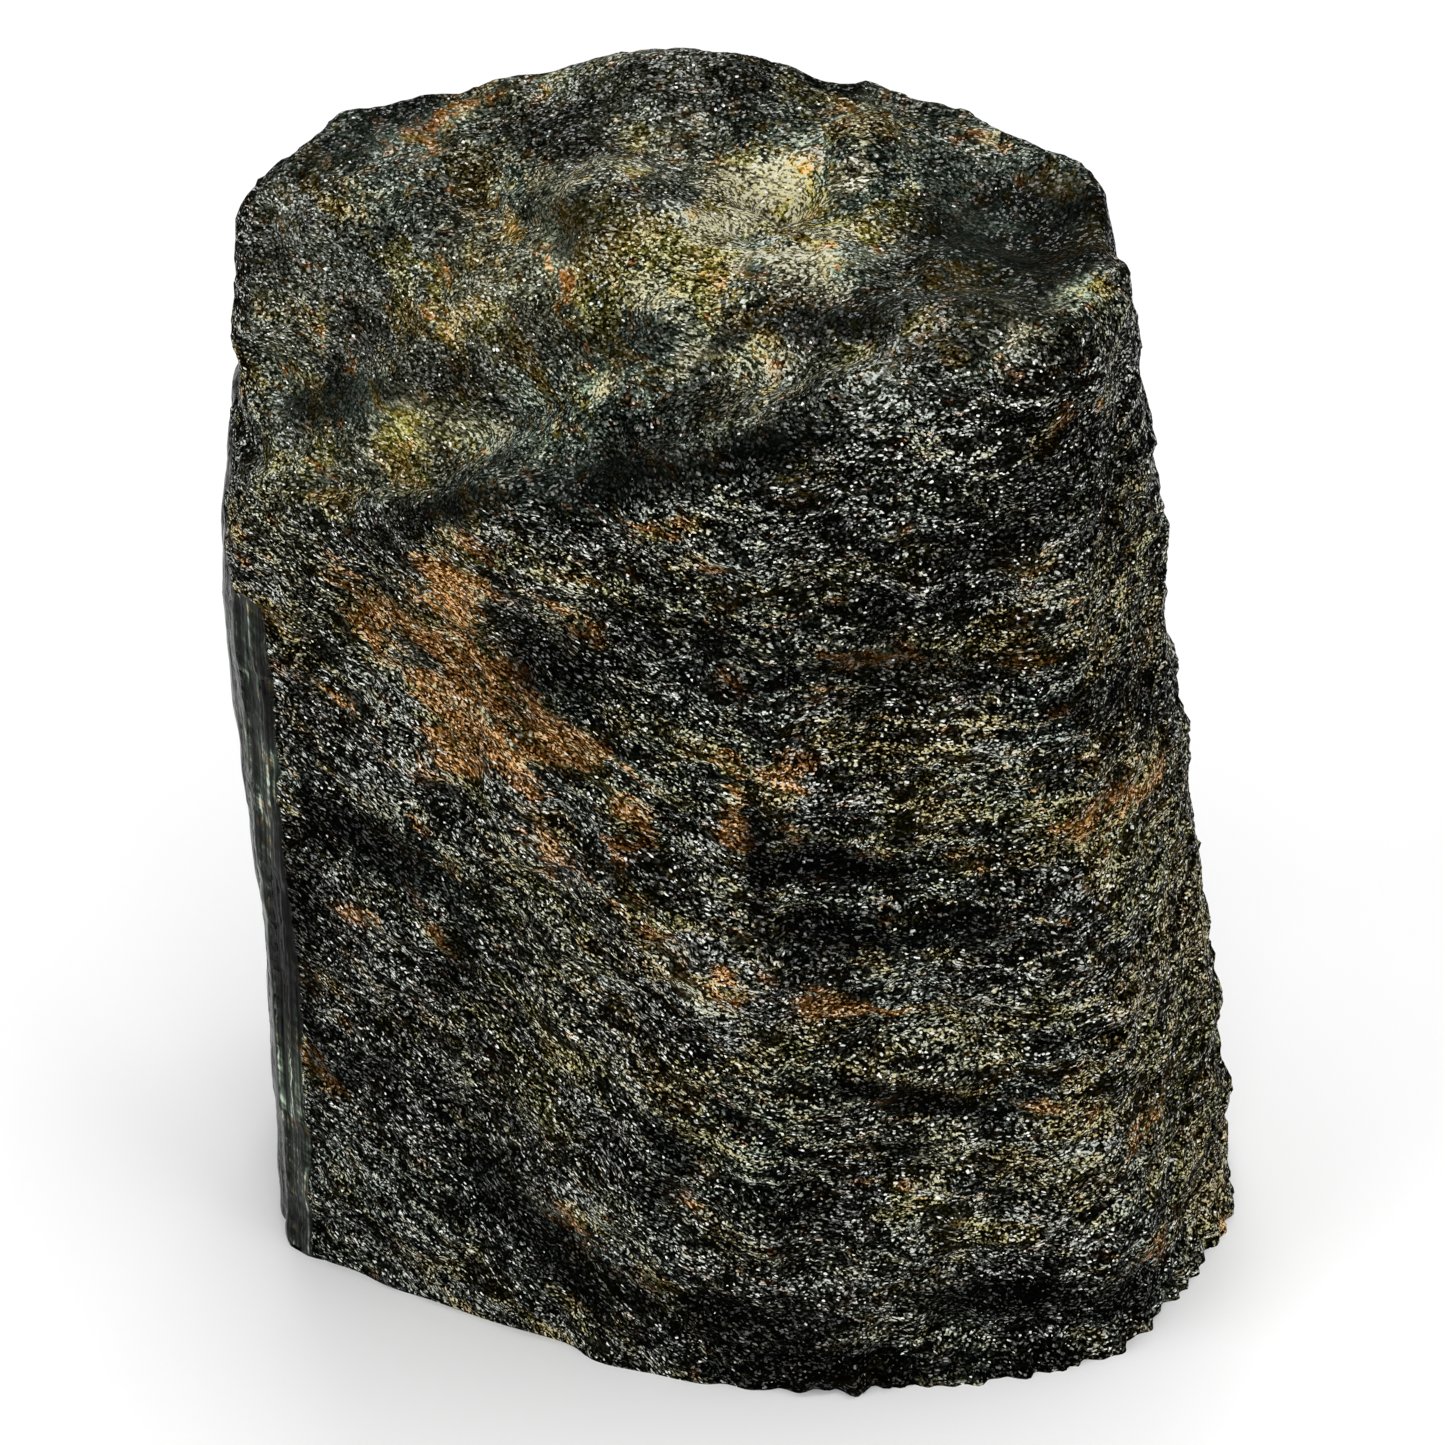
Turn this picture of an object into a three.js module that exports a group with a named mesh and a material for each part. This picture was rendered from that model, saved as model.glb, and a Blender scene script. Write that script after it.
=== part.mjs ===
// A rough green tourmaline: one thick, dark prism. Its top, base and front are broken and sugary, and its
// grooved growth faces are left on the left side and the back.
// Millimetres. +X is to the right, +Y is away from the broken front, +Z is up. The crystal stands on the flat
// of its broken base, and the origin is the middle of its box at that height.
import * as THREE from 'three';
import { mergeVertices } from 'three/addons/utils/BufferGeometryUtils.js';

// The crown outline is the section that the side walls would have at this height, and the middle of the
// section shifts from the base to the crown because the prism leans.
const CROWN_HEIGHT = 70;
const MIDDLE = { base: [0, 0], crown: [-5, 1.5] };

// The corners of the prism, anticlockwise seen from above, from the left front corner. base and crown are the
// corner's place on the two outlines, rim is the radius that the top edge is worn to there, wear is how many
// strips to each side the upright edge is worn round, and spans is how many strips the side that starts at the
// corner is divided into.
const CORNERS = [
  { base: [-29.9, -9.9], crown: [-30.9, -10], rim: 4.5, wear: 1.2, spans: 9 }, // left front corner
  { base: [-15.2, -18.8], crown: [-17.5, -16.4], rim: 3, wear: 4, spans: 9 }, // middle of the left front side
  { base: [0.9, -26.2], crown: [-3, -19], rim: 4.2, wear: 5, spans: 22 }, // front foot
  { base: [23.2, -22.2], crown: [17, -14.2], rim: 2.4, wear: 4, spans: 16 }, // right front corner
  { base: [31.4, -4.8], crown: [22, -3], rim: 2.5, wear: 2, spans: 5 }, // right corner
  { base: [30.4, 5], crown: [21.2, 9.8], rim: 1.6, wear: 1.5, spans: 7 }, // right side
  { base: [23.8, 17], crown: [14.4, 17.8], rim: 1.6, wear: 1.5, spans: 8 }, // right back corner
  { base: [8.4, 22.8], crown: [7.4, 21], rim: 1.6, wear: 1, spans: 10 }, // back
  { base: [-13, 23], crown: [-15.5, 21.6], rim: 1.6, wear: 0.6, spans: 7 }, // left back corner
  { base: [-25.4, 18.6], crown: [-26.8, 18], rim: 1.8, wear: 0.6, spans: 6 }, // back left side
  { base: [-30.6, 8], crown: [-31.9, 10.6], rim: 2, wear: 0.6, spans: 5 }, // left side
  { base: [-30.8, -3], crown: [-31.6, -2.4], rim: 2.5, wear: 0.8, spans: 4 }, // left edge
];

// The grid of the solid: level rows up the straight wall and rows over the worn top edge. A quarter of the
// strips lies along each edge of the grid's two ends. A worn upright edge is averaged over a few points to each
// side, and the height of the top edge is settled in a few steps.
const WALL_ROWS = 28;
const RIM_ROWS = 3;
const WEAR_STEPS = 3;
const RIM_STEPS = 4;

// The broken top: an almost level crown, and a shoulder that falls to the left front corner. Each is the
// height over the middle and its slopes along X and Y, and they run together over the blend.
const CROWN = { height: 67.5, alongX: 0.01, alongY: 0.03 };
const SHOULDER = { height: 75.8, alongX: 0.53, alongY: 0.7 };
const SHOULDER_BLEND = 1.6;

// Lumps, and hollows with a negative rise, each fading out over its reach along X, Y and Z.
const LUMPS = [
  { at: [-5.5, 19.5, 68.5], reach: [8, 6, 5], rise: 2.6 }, // back crest
  { at: [16, 5, 68], reach: [5, 6, 5], rise: -2.8 }, // smooth hollow of the crown
  { at: [12, -9.5, 67], reach: [8, 2.6, 5], rise: 1.4 }, // lip in front of that hollow
  { at: [0, -11, 64], reach: [7, 2.8, 5], rise: -2.6 }, // trough behind the front rim
  { at: [-16, -9.5, 59], reach: [6, 2.4, 5], rise: -1.6 }, // its left end
  { at: [-16, -15, 58], reach: [6, 3.5, 6], rise: 1.9 }, // lip on the left front side
  { at: [-26, -1, 58], reach: [4, 2.8, 5], rise: -2 }, // dark hollow of the shoulder
  { at: [1.5, 6, 67], reach: [2.4, 2.2, 4], rise: -2.6 }, // pit in the middle of the top
  { at: [-7, 3, 67], reach: [4.5, 6, 4], rise: 1.6 }, // pale rise beside the pit
  { at: [5, 12, 68], reach: [6, 4, 4], rise: 0.9 }, // pale rise behind the pit
  { at: [-17, 8, 66], reach: [3, 7, 4], rise: -1.4 }, // smooth dip left of them
  { at: [-12, -19.5, 44], reach: [7, 5, 12], rise: 0.9 }, // swell under the front rim
  { at: [-17, -15.5, 22], reach: [5, 5, 12], rise: -1.1 }, // shallow valley of the left front side
  { at: [-6, -21, 12], reach: [5, 5, 9], rise: 0.7 }, // swell beside the foot
  { at: [12, -20, 38], reach: [9, 5, 12], rise: 0.7 }, // swell of the right front side
  { at: [13, -23, 25], reach: [9, 4, 1.6], rise: -0.9 }, // crosswise slit
  { at: [16, -24, 3.4], reach: [9, 6, 2.2], rise: -1.2 }, // undercut over the broken foot
  { at: [28, -12, 3.4], reach: [5, 8, 2.4], rise: -0.9 }, // the undercut on the right
  { at: [26, 14, 36], reach: [6, 9, 14], rise: -1.6 }, // broken hollow at the right back
];

// Ledges that cross the walls: past the plane at this distance along the direction, the surface stands out by
// the rise, within the reach of its middle.
const LEDGES = [
  { facing: [0, 0, -1], distance: -56, rise: 1.3, at: [-31, -4, 45], reach: [8, 12, 15] }, // left ledge
  { facing: [0, 0, -1], distance: -33, rise: 0.7, at: [14, -20, 28], reach: [16, 9, 9] }, // front cross break
  { facing: [1, 0, 0], distance: 1.5, rise: -0.8, at: [8, -22, 26], reach: [11, 8, 20] }, // upright front edge
  { facing: [0.8, 0.6, 0], distance: -8.5, rise: 1.1, at: [-11, 6, 67], reach: [6, 10, 6] }, // step in the top
];
const LEDGE_WIDTH = 0.9;

// Long swells that make every broken face uneven: the length and direction of a wave, its rise and its start.
const SWELLS = [
  { along: [0.62, 0.2, 0.76], length: 13, rise: 0.16, start: 0.4 },
  { along: [-0.74, 0.36, 0.57], length: 9.5, rise: 0.13, start: 2.1 },
  { along: [0.3, -0.9, 0.33], length: 11, rise: 0.15, start: 4.4 },
  { along: [0.1, 0.25, 0.96], length: 5.6, rise: 0.12, start: 1.3 },
  { along: [0.85, 0.5, -0.15], length: 5.1, rise: 0.1, start: 5.2 },
];
const SWELL_BEND = 1.3;

// Growth grooves run up the faces from the right back corner round to the left front corner, where the swells
// are weaker. Teeth of broken rods stand along the foot from the front to the right corner, and fade out above
// it. A groove or a tooth is two strips wide, and both fade in over a few strips where their row begins.
const GROOVE_RISE = 0.16;
const GROOVES_FROM = 68;
const GROOVES_FADE = 2;
const GROWTH_EVENNESS = 0.7;
const TOOTH_RISE = 0.5;
const TEETH = { from: 17, to: 60, fade: 4, height: 4 };

const SPANS = CORNERS.reduce((sum, corner) => sum + corner.spans, 0);
const CAP_SPANS = SPANS / 4;
const ROWS = WALL_ROWS + RIM_ROWS;

function mix(a, b, share) {
  return a + (b - a) * share;
}

function smoothStep(value) {
  const share = Math.min(Math.max(value, 0), 1);
  return share * share * (3 - 2 * share);
}

// The lower of two heights, run together over the blend.
function softLower(a, b, blend) {
  return -blend * Math.log(Math.exp(-a / blend) + Math.exp(-b / blend));
}

// 1 at the middle of a reach, falling to nothing like a bell.
function bell(point, at, reach) {
  const dx = (point.x - at[0]) / reach[0];
  const dy = (point.y - at[1]) / reach[1];
  const dz = (point.z - at[2]) / reach[2];
  return Math.exp(-dx * dx - dy * dy - dz * dz);
}

// The corner that a strip starts from, the next corner, and the share of the side between them.
function sideAt(strip) {
  let left = ((strip % SPANS) + SPANS) % SPANS;
  let index = 0;
  while (left >= CORNERS[index].spans) {
    left -= CORNERS[index].spans;
    index += 1;
  }
  return [CORNERS[index], CORNERS[(index + 1) % CORNERS.length], left / CORNERS[index].spans];
}

// A point of the sharp outline at a height.
function sharpOutline(strip, height) {
  const [from, to, share] = sideAt(strip);
  const rise = height / CROWN_HEIGHT;
  const along = (key, axis) => mix(from[key][axis], to[key][axis], share);
  return {
    x: mix(along('base', 0), along('crown', 0), rise),
    y: mix(along('base', 1), along('crown', 1), rise),
  };
}

// The outline with its corners worn round, each point the mean of the sharp outline's to both sides of it. The
// rim's radius there comes with it.
function outline(strip, height) {
  const [from, to, share] = sideAt(strip);
  const reach = mix(from.wear, to.wear, share);
  const point = { x: 0, y: 0, rim: mix(from.rim, to.rim, share) };
  for (let step = -WEAR_STEPS; step <= WEAR_STEPS; step += 1) {
    const beside = sharpOutline(strip + (reach * step) / WEAR_STEPS, height);
    point.x += beside.x / (2 * WEAR_STEPS + 1);
    point.y += beside.y / (2 * WEAR_STEPS + 1);
  }
  return point;
}

// The middle of the section at a height.
function middle(height) {
  const rise = height / CROWN_HEIGHT;
  return { x: mix(MIDDLE.base[0], MIDDLE.crown[0], rise), y: mix(MIDDLE.base[1], MIDDLE.crown[1], rise) };
}

// A point moved towards the middle of its section by a distance.
function inset(point, distance, height) {
  const centre = middle(height);
  const length = Math.hypot(point.x - centre.x, point.y - centre.y);
  const share = distance / length;
  return { x: mix(point.x, centre.x, share), y: mix(point.y, centre.y, share) };
}

function topHeight(x, y) {
  const crown = CROWN.height + CROWN.alongX * x + CROWN.alongY * y;
  const shoulder = SHOULDER.height + SHOULDER.alongX * x + SHOULDER.alongY * y;
  return softLower(crown, shoulder, SHOULDER_BLEND);
}

// The height of the top edge over a strip, settled in a few steps because the outline leans with height.
function rimHeight(strip) {
  let height = CROWN.height;
  for (let step = 0; step < RIM_STEPS; step += 1) {
    const edge = outline(strip, height);
    const inner = inset(edge, edge.rim, height);
    height = topHeight(inner.x, inner.y);
  }
  return height;
}

// The strip, counted round the grid's square, that a point of the square's edge belongs to.
function stripOf(u, v) {
  if (Math.abs(v) >= Math.abs(u)) return (v < 0 ? (1 + u) / 2 : 2 + (1 - u) / 2) * CAP_SPANS;
  return (u > 0 ? 1 + (1 + v) / 2 : 3 + (1 - v) / 2) * CAP_SPANS;
}

// The ring and the strip of a point inside the grid's square, which is first bent into a disc.
function ringAndStrip(u, v) {
  const x = u * Math.sqrt(1 - (v * v) / 2);
  const y = v * Math.sqrt(1 - (u * u) / 2);
  const ring = Math.hypot(x, y);
  return [ring, stripOf((Math.SQRT2 * x) / ring, (Math.SQRT2 * y) / ring)];
}

// A point of the wall: straight up from the base, then a quarter round over the worn top edge.
function wallPoint(strip, row) {
  const top = rimHeight(strip);
  const { rim } = outline(strip, top);
  const turn = (Math.max(row - WALL_ROWS, 0) / RIM_ROWS) * (Math.PI / 2);
  const straight = (top - rim) * Math.min(row / WALL_ROWS, 1);
  const height = straight + rim * Math.sin(turn);
  const edge = outline(strip, height);
  const point = inset(edge, rim * (1 - Math.cos(turn)), height);
  return new THREE.Vector3(point.x, point.y, height);
}

// A point of the top, its ring shrunk from the edge towards the middle.
function topPoint(strip, ring) {
  const edge = wallPoint(strip, ROWS);
  const centre = middle(CROWN_HEIGHT);
  const x = mix(centre.x, edge.x, ring);
  const y = mix(centre.y, edge.y, ring);
  return new THREE.Vector3(x, y, topHeight(x, y));
}

// A point of the flat base, whose edge has the relief of the wall above it.
function basePoint(strip, ring) {
  const edge = wallPoint(strip, 0);
  const centre = middle(0);
  const out = edge.clone().sub(new THREE.Vector3(centre.x, centre.y, 0)).normalize();
  edge.addScaledVector(out, relief(edge, strip, 0));
  return new THREE.Vector3(mix(centre.x, edge.x, ring), mix(centre.y, edge.y, ring), 0);
}

function gridPoint(strip, row, ring) {
  if (row === 0) return basePoint(strip, ring);
  return ring < 1 ? topPoint(strip, ring) : wallPoint(strip, row);
}

function ledgeRise(point) {
  let rise = 0;
  for (const ledge of LEDGES) {
    const along = point.x * ledge.facing[0] + point.y * ledge.facing[1] + point.z * ledge.facing[2];
    const past = smoothStep((along - ledge.distance) / LEDGE_WIDTH + 0.5);
    rise += ledge.rise * past * bell(point, ledge.at, ledge.reach);
  }
  return rise;
}

function swellRise(point) {
  let rise = 0;
  let bend = 0;
  for (const swell of SWELLS) {
    const along = point.x * swell.along[0] + point.y * swell.along[1] + point.z * swell.along[2];
    const wave = Math.sin((2 * Math.PI * along) / swell.length + swell.start + SWELL_BEND * bend);
    rise += swell.rise * wave;
    bend = wave;
  }
  return rise;
}

// The share of a grooved growth face at a place on the grid: none on the broken sides and over the top edge.
function growthShare(strip, row) {
  const pastBreak = smoothStep((strip - GROOVES_FROM) / GROOVES_FADE);
  const beforeFront = smoothStep((SPANS - strip) / GROOVES_FADE);
  const belowRim = smoothStep((WALL_ROWS - row) / RIM_ROWS);
  return pastBreak * beforeFront * belowRim;
}

function toothShare(strip, height) {
  const along = Math.min(strip - TEETH.from, TEETH.to - strip);
  return smoothStep(along / TEETH.fade) * (1 - smoothStep(height / TEETH.height));
}

// How far the surface stands out from the plain prism, along its normal.
function relief(point, strip, row) {
  const growth = growthShare(strip, row);
  const beat = Math.cos(Math.PI * strip);
  let rise = ledgeRise(point) + swellRise(point) * (1 - GROWTH_EVENNESS * growth);
  for (const lump of LUMPS) {
    rise += lump.rise * bell(point, lump.at, lump.reach);
  }
  return rise + beat * (GROOVE_RISE * growth + TOOTH_RISE * toothShare(strip, point.z));
}

// A box's grid carried onto the prism, then moved out and in along its normals by the relief.
function crystalGeometry() {
  const box = new THREE.BoxGeometry(2, 2, 2, CAP_SPANS, CAP_SPANS, ROWS);
  box.deleteAttribute('normal');
  box.deleteAttribute('uv');
  const geometry = mergeVertices(box);
  const place = geometry.getAttribute('position');
  const strips = [];
  const rows = [];
  for (let index = 0; index < place.count; index += 1) {
    const [u, v, w] = [place.getX(index), place.getY(index), place.getZ(index)];
    const inside = Math.max(Math.abs(u), Math.abs(v)) < 1;
    const [ring, strip] = inside ? ringAndStrip(u, v) : [1, stripOf(u, v)];
    const row = Math.round(((w + 1) / 2) * ROWS);
    const point = gridPoint(strip, row, ring);
    strips.push(strip);
    rows.push(row);
    place.setXYZ(index, point.x, point.y, point.z);
  }
  geometry.computeVertexNormals();
  raiseRelief(geometry, strips, rows);
  standOnBase(geometry);
  return geometry;
}

function raiseRelief(geometry, strips, rows) {
  const place = geometry.getAttribute('position');
  const normals = geometry.getAttribute('normal');
  for (let index = 0; index < place.count; index += 1) {
    if (rows[index] === 0) continue;
    const point = new THREE.Vector3().fromBufferAttribute(place, index);
    const normal = new THREE.Vector3().fromBufferAttribute(normals, index);
    point.addScaledVector(normal, relief(point, strips[index], rows[index]));
    place.setXYZ(index, point.x, point.y, point.z);
  }
}

// Puts the middle of the crystal's box over the origin.
function standOnBase(geometry) {
  geometry.computeBoundingBox();
  const { min, max } = geometry.boundingBox;
  geometry.translate(-(min.x + max.x) / 2, -(min.y + max.y) / 2, -min.z);
  geometry.computeVertexNormals();
}

function tourmalineMaterial() {
  return new THREE.MeshStandardMaterial({ color: 0x1d231c, roughness: 0.45, metalness: 0, flatShading: true });
}

const crystal = new THREE.Mesh(crystalGeometry(), tourmalineMaterial());
crystal.name = 'tourmaline_crystal';

const tourmaline = new THREE.Group();
tourmaline.add(crystal);

export default tourmaline;
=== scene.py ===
# The looks of a rough green tourmaline: one thick, near-black green prism with sugary broken faces on its
# top, front and right, grooved growth faces on its left and back, and stains of rust, ochre and cream.
import math
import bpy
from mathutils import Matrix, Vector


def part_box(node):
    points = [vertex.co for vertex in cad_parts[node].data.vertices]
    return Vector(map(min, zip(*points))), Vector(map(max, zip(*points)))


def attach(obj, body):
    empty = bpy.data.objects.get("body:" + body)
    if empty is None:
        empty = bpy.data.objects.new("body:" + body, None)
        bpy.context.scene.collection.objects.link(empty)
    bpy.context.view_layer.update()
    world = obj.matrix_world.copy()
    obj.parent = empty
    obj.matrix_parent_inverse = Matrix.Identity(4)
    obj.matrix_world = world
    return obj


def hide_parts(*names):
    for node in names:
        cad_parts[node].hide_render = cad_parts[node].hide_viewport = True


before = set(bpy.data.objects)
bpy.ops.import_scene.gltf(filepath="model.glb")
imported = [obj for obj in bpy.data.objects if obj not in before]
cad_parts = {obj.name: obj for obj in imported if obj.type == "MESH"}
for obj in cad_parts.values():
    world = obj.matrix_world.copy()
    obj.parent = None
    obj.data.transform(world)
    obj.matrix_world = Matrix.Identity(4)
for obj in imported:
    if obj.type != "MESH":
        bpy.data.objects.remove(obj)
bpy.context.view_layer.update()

from types import SimpleNamespace
from typing import NamedTuple

import bpy
import numpy as np
from mathutils import Vector

NODE = "tourmaline_crystal"
MM = 0.001

# The photograph's own width in pixels, and the camera that it was taken with, in millimetres: how steeply it
# looks down, how far it stands from the point that it looks at, and how wide a field it takes in there.
PHOTO_SIZE = 1445
CAMERA_FALL = math.radians(32)
CAMERA_DISTANCE = 400.0
CAMERA_TARGET = np.array([-1.2, 0.0, 34.3])
FIELD_WIDTH = 90.3
SENSOR_WIDTH = 36.0
CAMERA_BACK = np.array([0, -math.cos(CAMERA_FALL), math.sin(CAMERA_FALL)])
CAMERA_UP = np.array([0, math.sin(CAMERA_FALL), math.cos(CAMERA_FALL)])

# How fast a placed patch fades where the surface turns away from the camera, and how far past the edge it
# reaches.
SEEN_FADE = 0.25
SEEN_PAST = 0.4


class Corner(NamedTuple):
    """A corner of the prism: its place on the base outline and on the crown outline, the radius that the top
    edge is worn to, how many strips to each side the upright edge is worn round, and how many strips the side
    that starts at it is divided into."""

    base: tuple
    crown: tuple
    rim: float
    wear: float
    spans: int


# The form of the solid, in millimetres, in the frame that it was drawn in. The corners go anticlockwise seen
# from above, from the left front corner.
CROWN_HEIGHT = 70.0
MIDDLE_BASE = (0.0, 0.0)
MIDDLE_CROWN = (-5.0, 1.5)
CORNERS = [
    Corner((-29.9, -9.9), (-30.9, -10.0), 4.5, 1.2, 9),
    Corner((-15.2, -18.8), (-17.5, -16.4), 3.0, 4.0, 9),
    Corner((0.9, -26.2), (-3.0, -19.0), 4.2, 5.0, 22),
    Corner((23.2, -22.2), (17.0, -14.2), 2.4, 4.0, 16),
    Corner((31.4, -4.8), (22.0, -3.0), 2.5, 2.0, 5),
    Corner((30.4, 5.0), (21.2, 9.8), 1.6, 1.5, 7),
    Corner((23.8, 17.0), (14.4, 17.8), 1.6, 1.5, 8),
    Corner((8.4, 22.8), (7.4, 21.0), 1.6, 1.0, 10),
    Corner((-13.0, 23.0), (-15.5, 21.6), 1.6, 0.6, 7),
    Corner((-25.4, 18.6), (-26.8, 18.0), 1.8, 0.6, 6),
    Corner((-30.6, 8.0), (-31.9, 10.6), 2.0, 0.6, 5),
    Corner((-30.8, -3.0), (-31.6, -2.4), 2.5, 0.8, 4),
]
BASE_OUTLINE = np.array([corner.base for corner in CORNERS])
CROWN_OUTLINE = np.array([corner.crown for corner in CORNERS])
RIM_RADII = np.array([corner.rim for corner in CORNERS])
WEARS = np.array([corner.wear for corner in CORNERS])
SIDE_SPANS = np.array([corner.spans for corner in CORNERS])
SIDE_ENDS = np.cumsum(SIDE_SPANS)
SPANS = int(SIDE_ENDS[-1])
CAP_SPANS = SPANS // 4
WEAR_STEPS = 3
RIM_STEPS = 4

# The fine grid: columns to each strip, rows up the straight wall and over the worn top edge, and how far a
# grid point strays from its place, as a share of the spacing, so that the small faces are uneven.
FINENESS = 4
COLUMNS = SPANS * FINENESS
CAP_COLUMNS = CAP_SPANS * FINENESS
WALL_ROWS = 152
RIM_ROWS = 18
ROWS = WALL_ROWS + RIM_ROWS
STRAY = 0.32
LEAST_RING = 1e-6

# The broken top: an almost level crown, and a shoulder that falls to the left front corner. Each is the
# height over the middle and its slopes along X and Y, and they run together over the blend.
CROWN = (67.5, 0.01, 0.03)
SHOULDER = (75.8, 0.53, 0.7)
SHOULDER_BLEND = 1.6


class Lump(NamedTuple):
    """A lump, or a hollow with a negative rise, that fades out over its reach along X, Y and Z."""

    at: tuple
    reach: tuple
    rise: float


LUMPS = [
    Lump((-5.5, 19.5, 68.5), (8.0, 6.0, 5.0), 2.6),
    Lump((16.0, 5.0, 68.0), (5.0, 6.0, 5.0), -2.8),
    Lump((12.0, -9.5, 67.0), (8.0, 2.6, 5.0), 1.4),
    Lump((0.0, -11.0, 64.0), (7.0, 2.8, 5.0), -2.6),
    Lump((-16.0, -9.5, 59.0), (6.0, 2.4, 5.0), -1.6),
    Lump((-16.0, -15.0, 58.0), (6.0, 3.5, 6.0), 1.9),
    Lump((-26.0, -1.0, 58.0), (4.0, 2.8, 5.0), -2.0),
    Lump((1.5, 6.0, 67.0), (2.4, 2.2, 4.0), -2.6),
    Lump((-7.0, 3.0, 67.0), (4.5, 6.0, 4.0), 1.6),
    Lump((5.0, 12.0, 68.0), (6.0, 4.0, 4.0), 0.9),
    Lump((-17.0, 8.0, 66.0), (3.0, 7.0, 4.0), -1.4),
    Lump((-12.0, -19.5, 44.0), (7.0, 5.0, 12.0), 0.9),
    Lump((-17.0, -15.5, 22.0), (5.0, 5.0, 12.0), -1.1),
    Lump((-6.0, -21.0, 12.0), (5.0, 5.0, 9.0), 0.7),
    Lump((12.0, -20.0, 38.0), (9.0, 5.0, 12.0), 0.7),
    Lump((13.0, -23.0, 25.0), (9.0, 4.0, 1.6), -0.9),
    Lump((16.0, -24.0, 3.4), (9.0, 6.0, 2.2), -1.2),
    Lump((28.0, -12.0, 3.4), (5.0, 8.0, 2.4), -0.9),
    Lump((26.0, 14.0, 36.0), (6.0, 9.0, 14.0), -1.6),
]


class Ledge(NamedTuple):
    """A ledge: past the plane at this distance along the direction it faces, the surface stands out by the
    rise, within the reach of its middle."""

    facing: tuple
    distance: float
    rise: float
    at: tuple
    reach: tuple


LEDGES = [
    Ledge((0.0, 0.0, -1.0), -56.0, 1.3, (-31.0, -4.0, 45.0), (8.0, 12.0, 15.0)),
    Ledge((0.0, 0.0, -1.0), -33.0, 0.7, (14.0, -20.0, 28.0), (16.0, 9.0, 9.0)),
    Ledge((1.0, 0.0, 0.0), 1.5, -0.8, (8.0, -22.0, 26.0), (11.0, 8.0, 20.0)),
    Ledge((0.8, 0.6, 0.0), -8.5, 1.1, (-11.0, 6.0, 67.0), (6.0, 10.0, 6.0)),
]
LEDGE_WIDTH = 0.9


class Swell(NamedTuple):
    """A long wave of the broken faces: its direction, length, rise and start."""

    along: tuple
    length: float
    rise: float
    start: float


SWELLS = [
    Swell((0.62, 0.2, 0.76), 13.0, 0.16, 0.4),
    Swell((-0.74, 0.36, 0.57), 9.5, 0.13, 2.1),
    Swell((0.3, -0.9, 0.33), 11.0, 0.15, 4.4),
    Swell((0.1, 0.25, 0.96), 5.6, 0.12, 1.3),
    Swell((0.85, 0.5, -0.15), 5.1, 0.1, 5.2),
]
SWELL_BEND = 1.3


class Noise(NamedTuple):
    """A noise: the size of its waves, in millimetres or in strips, and the number of its random table."""

    size: float
    seed: int


class Pitch(NamedTuple):
    """The uneven pitch of ribs or teeth: how many half waves go to a strip, how far a noise shifts them, and
    that noise."""

    halves: float
    shift: float
    unevenness: Noise


# Growth faces run from the right back corner round to the left front corner. Their ribs are flat-topped and a
# few strips wide, with finer grooves on them. Places round the crystal are strips from the left front corner.
GROWTH_FROM = 68.0
GROWTH_FADE = 2.0
GROWTH_ON_FRONT = 1.3
GROWTH_EDGE = 0.5
RIBBED_REACH = 4.0
GROWTH_EVENNESS = 0.7
RIM_FADE = 0.11
RIBS = Pitch(0.9, 2.2, Noise(3.1, 61))
RIB_ROUNDNESS = 0.12
RIB_RISE = 0.17
GROOVES = Noise(0.42, 62)
WIDE_GROOVES = Noise(1.1, 63)
GROOVE_RISE = 0.07

# Teeth of broken rods stand along the foot of the broken sides.
TEETH = Pitch(0.62, 3.0, Noise(4.2, 65))
FINE_TEETH = Pitch(1.4, 2.4, Noise(2.6, 68))
TOOTH_CHIPS = Noise(1.0, 66)
TOOTH_HEIGHTS = Noise(4.0, 67)
TOOTH_LEAN = 0.6
TOOTH_RISE = 0.5
TEETH_FROM = 17.0
TEETH_TO = 60.0
TEETH_FADE = 4.0
TEETH_HEIGHT = 4.0

# The crystal breaks in thin sheets across its length. They lie a little tilted, so their edges cross the
# front almost level and fall to the right, and rise to the right across the top. On the left they bend down.
SHEET_FACING = Vector((0.126, -0.2265, 0.966)).normalized()
SHEETED_FROM = -14.0
SHEETED_FADE = 12.0
SHEETS_BEND_AT = -1.0
SHEET_KNEE = 2.0
SHEET_BEND = 0.45
SHEETS_BEND_BELOW = 75.0
SHEETS_BEND_FADE = 30.0


class Grains(NamedTuple):
    """Tilted grains: how their places are squeezed along the sheets and across them, their size in
    millimetres, how steeply they tilt and the number of their random table."""

    squeeze: tuple
    size: float
    tilt: float
    seed: int


# The relief of the broken faces, in millimetres: rounded unevenness, sheets with ragged edges, tilted grains
# in two sizes, and dust. The top and the calm patches have less of it, and the growth faces only some dust.
# The spread is the size of a sheet's raggedness along the sheets, twice, and across them.
UNEVENNESS = Noise(4.2, 11)
UNEVEN_RISE = 0.17
SHEET_SPREAD = (6.5, 6.5, 0.75)
SHEET_EDGES = Noise(1.0, 21)
SHEET_RISE = 0.12
SHEET_WAVER = 0.5
SHEET_WAVES = Noise(5.0, 31)
COARSE_GRAINS = Grains((0.8, 0.8, 1.25), 2.3, 0.1, 41)
FINE_GRAINS = Grains((0.85, 0.85, 1.2), 1.15, 0.17, 42)
GRAIN_LIFT = 0.6
DUST = Noise(0.62, 51)
DUST_RISE = 0.05
GROWTH_DUST_RISE = 0.03
CALM_SHEETS = 0.5
CALM_GRAINS = 0.8
CALM_TOP = 0.4
CALM_FROM = 52.0
CALM_FADE = 12.0


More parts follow.
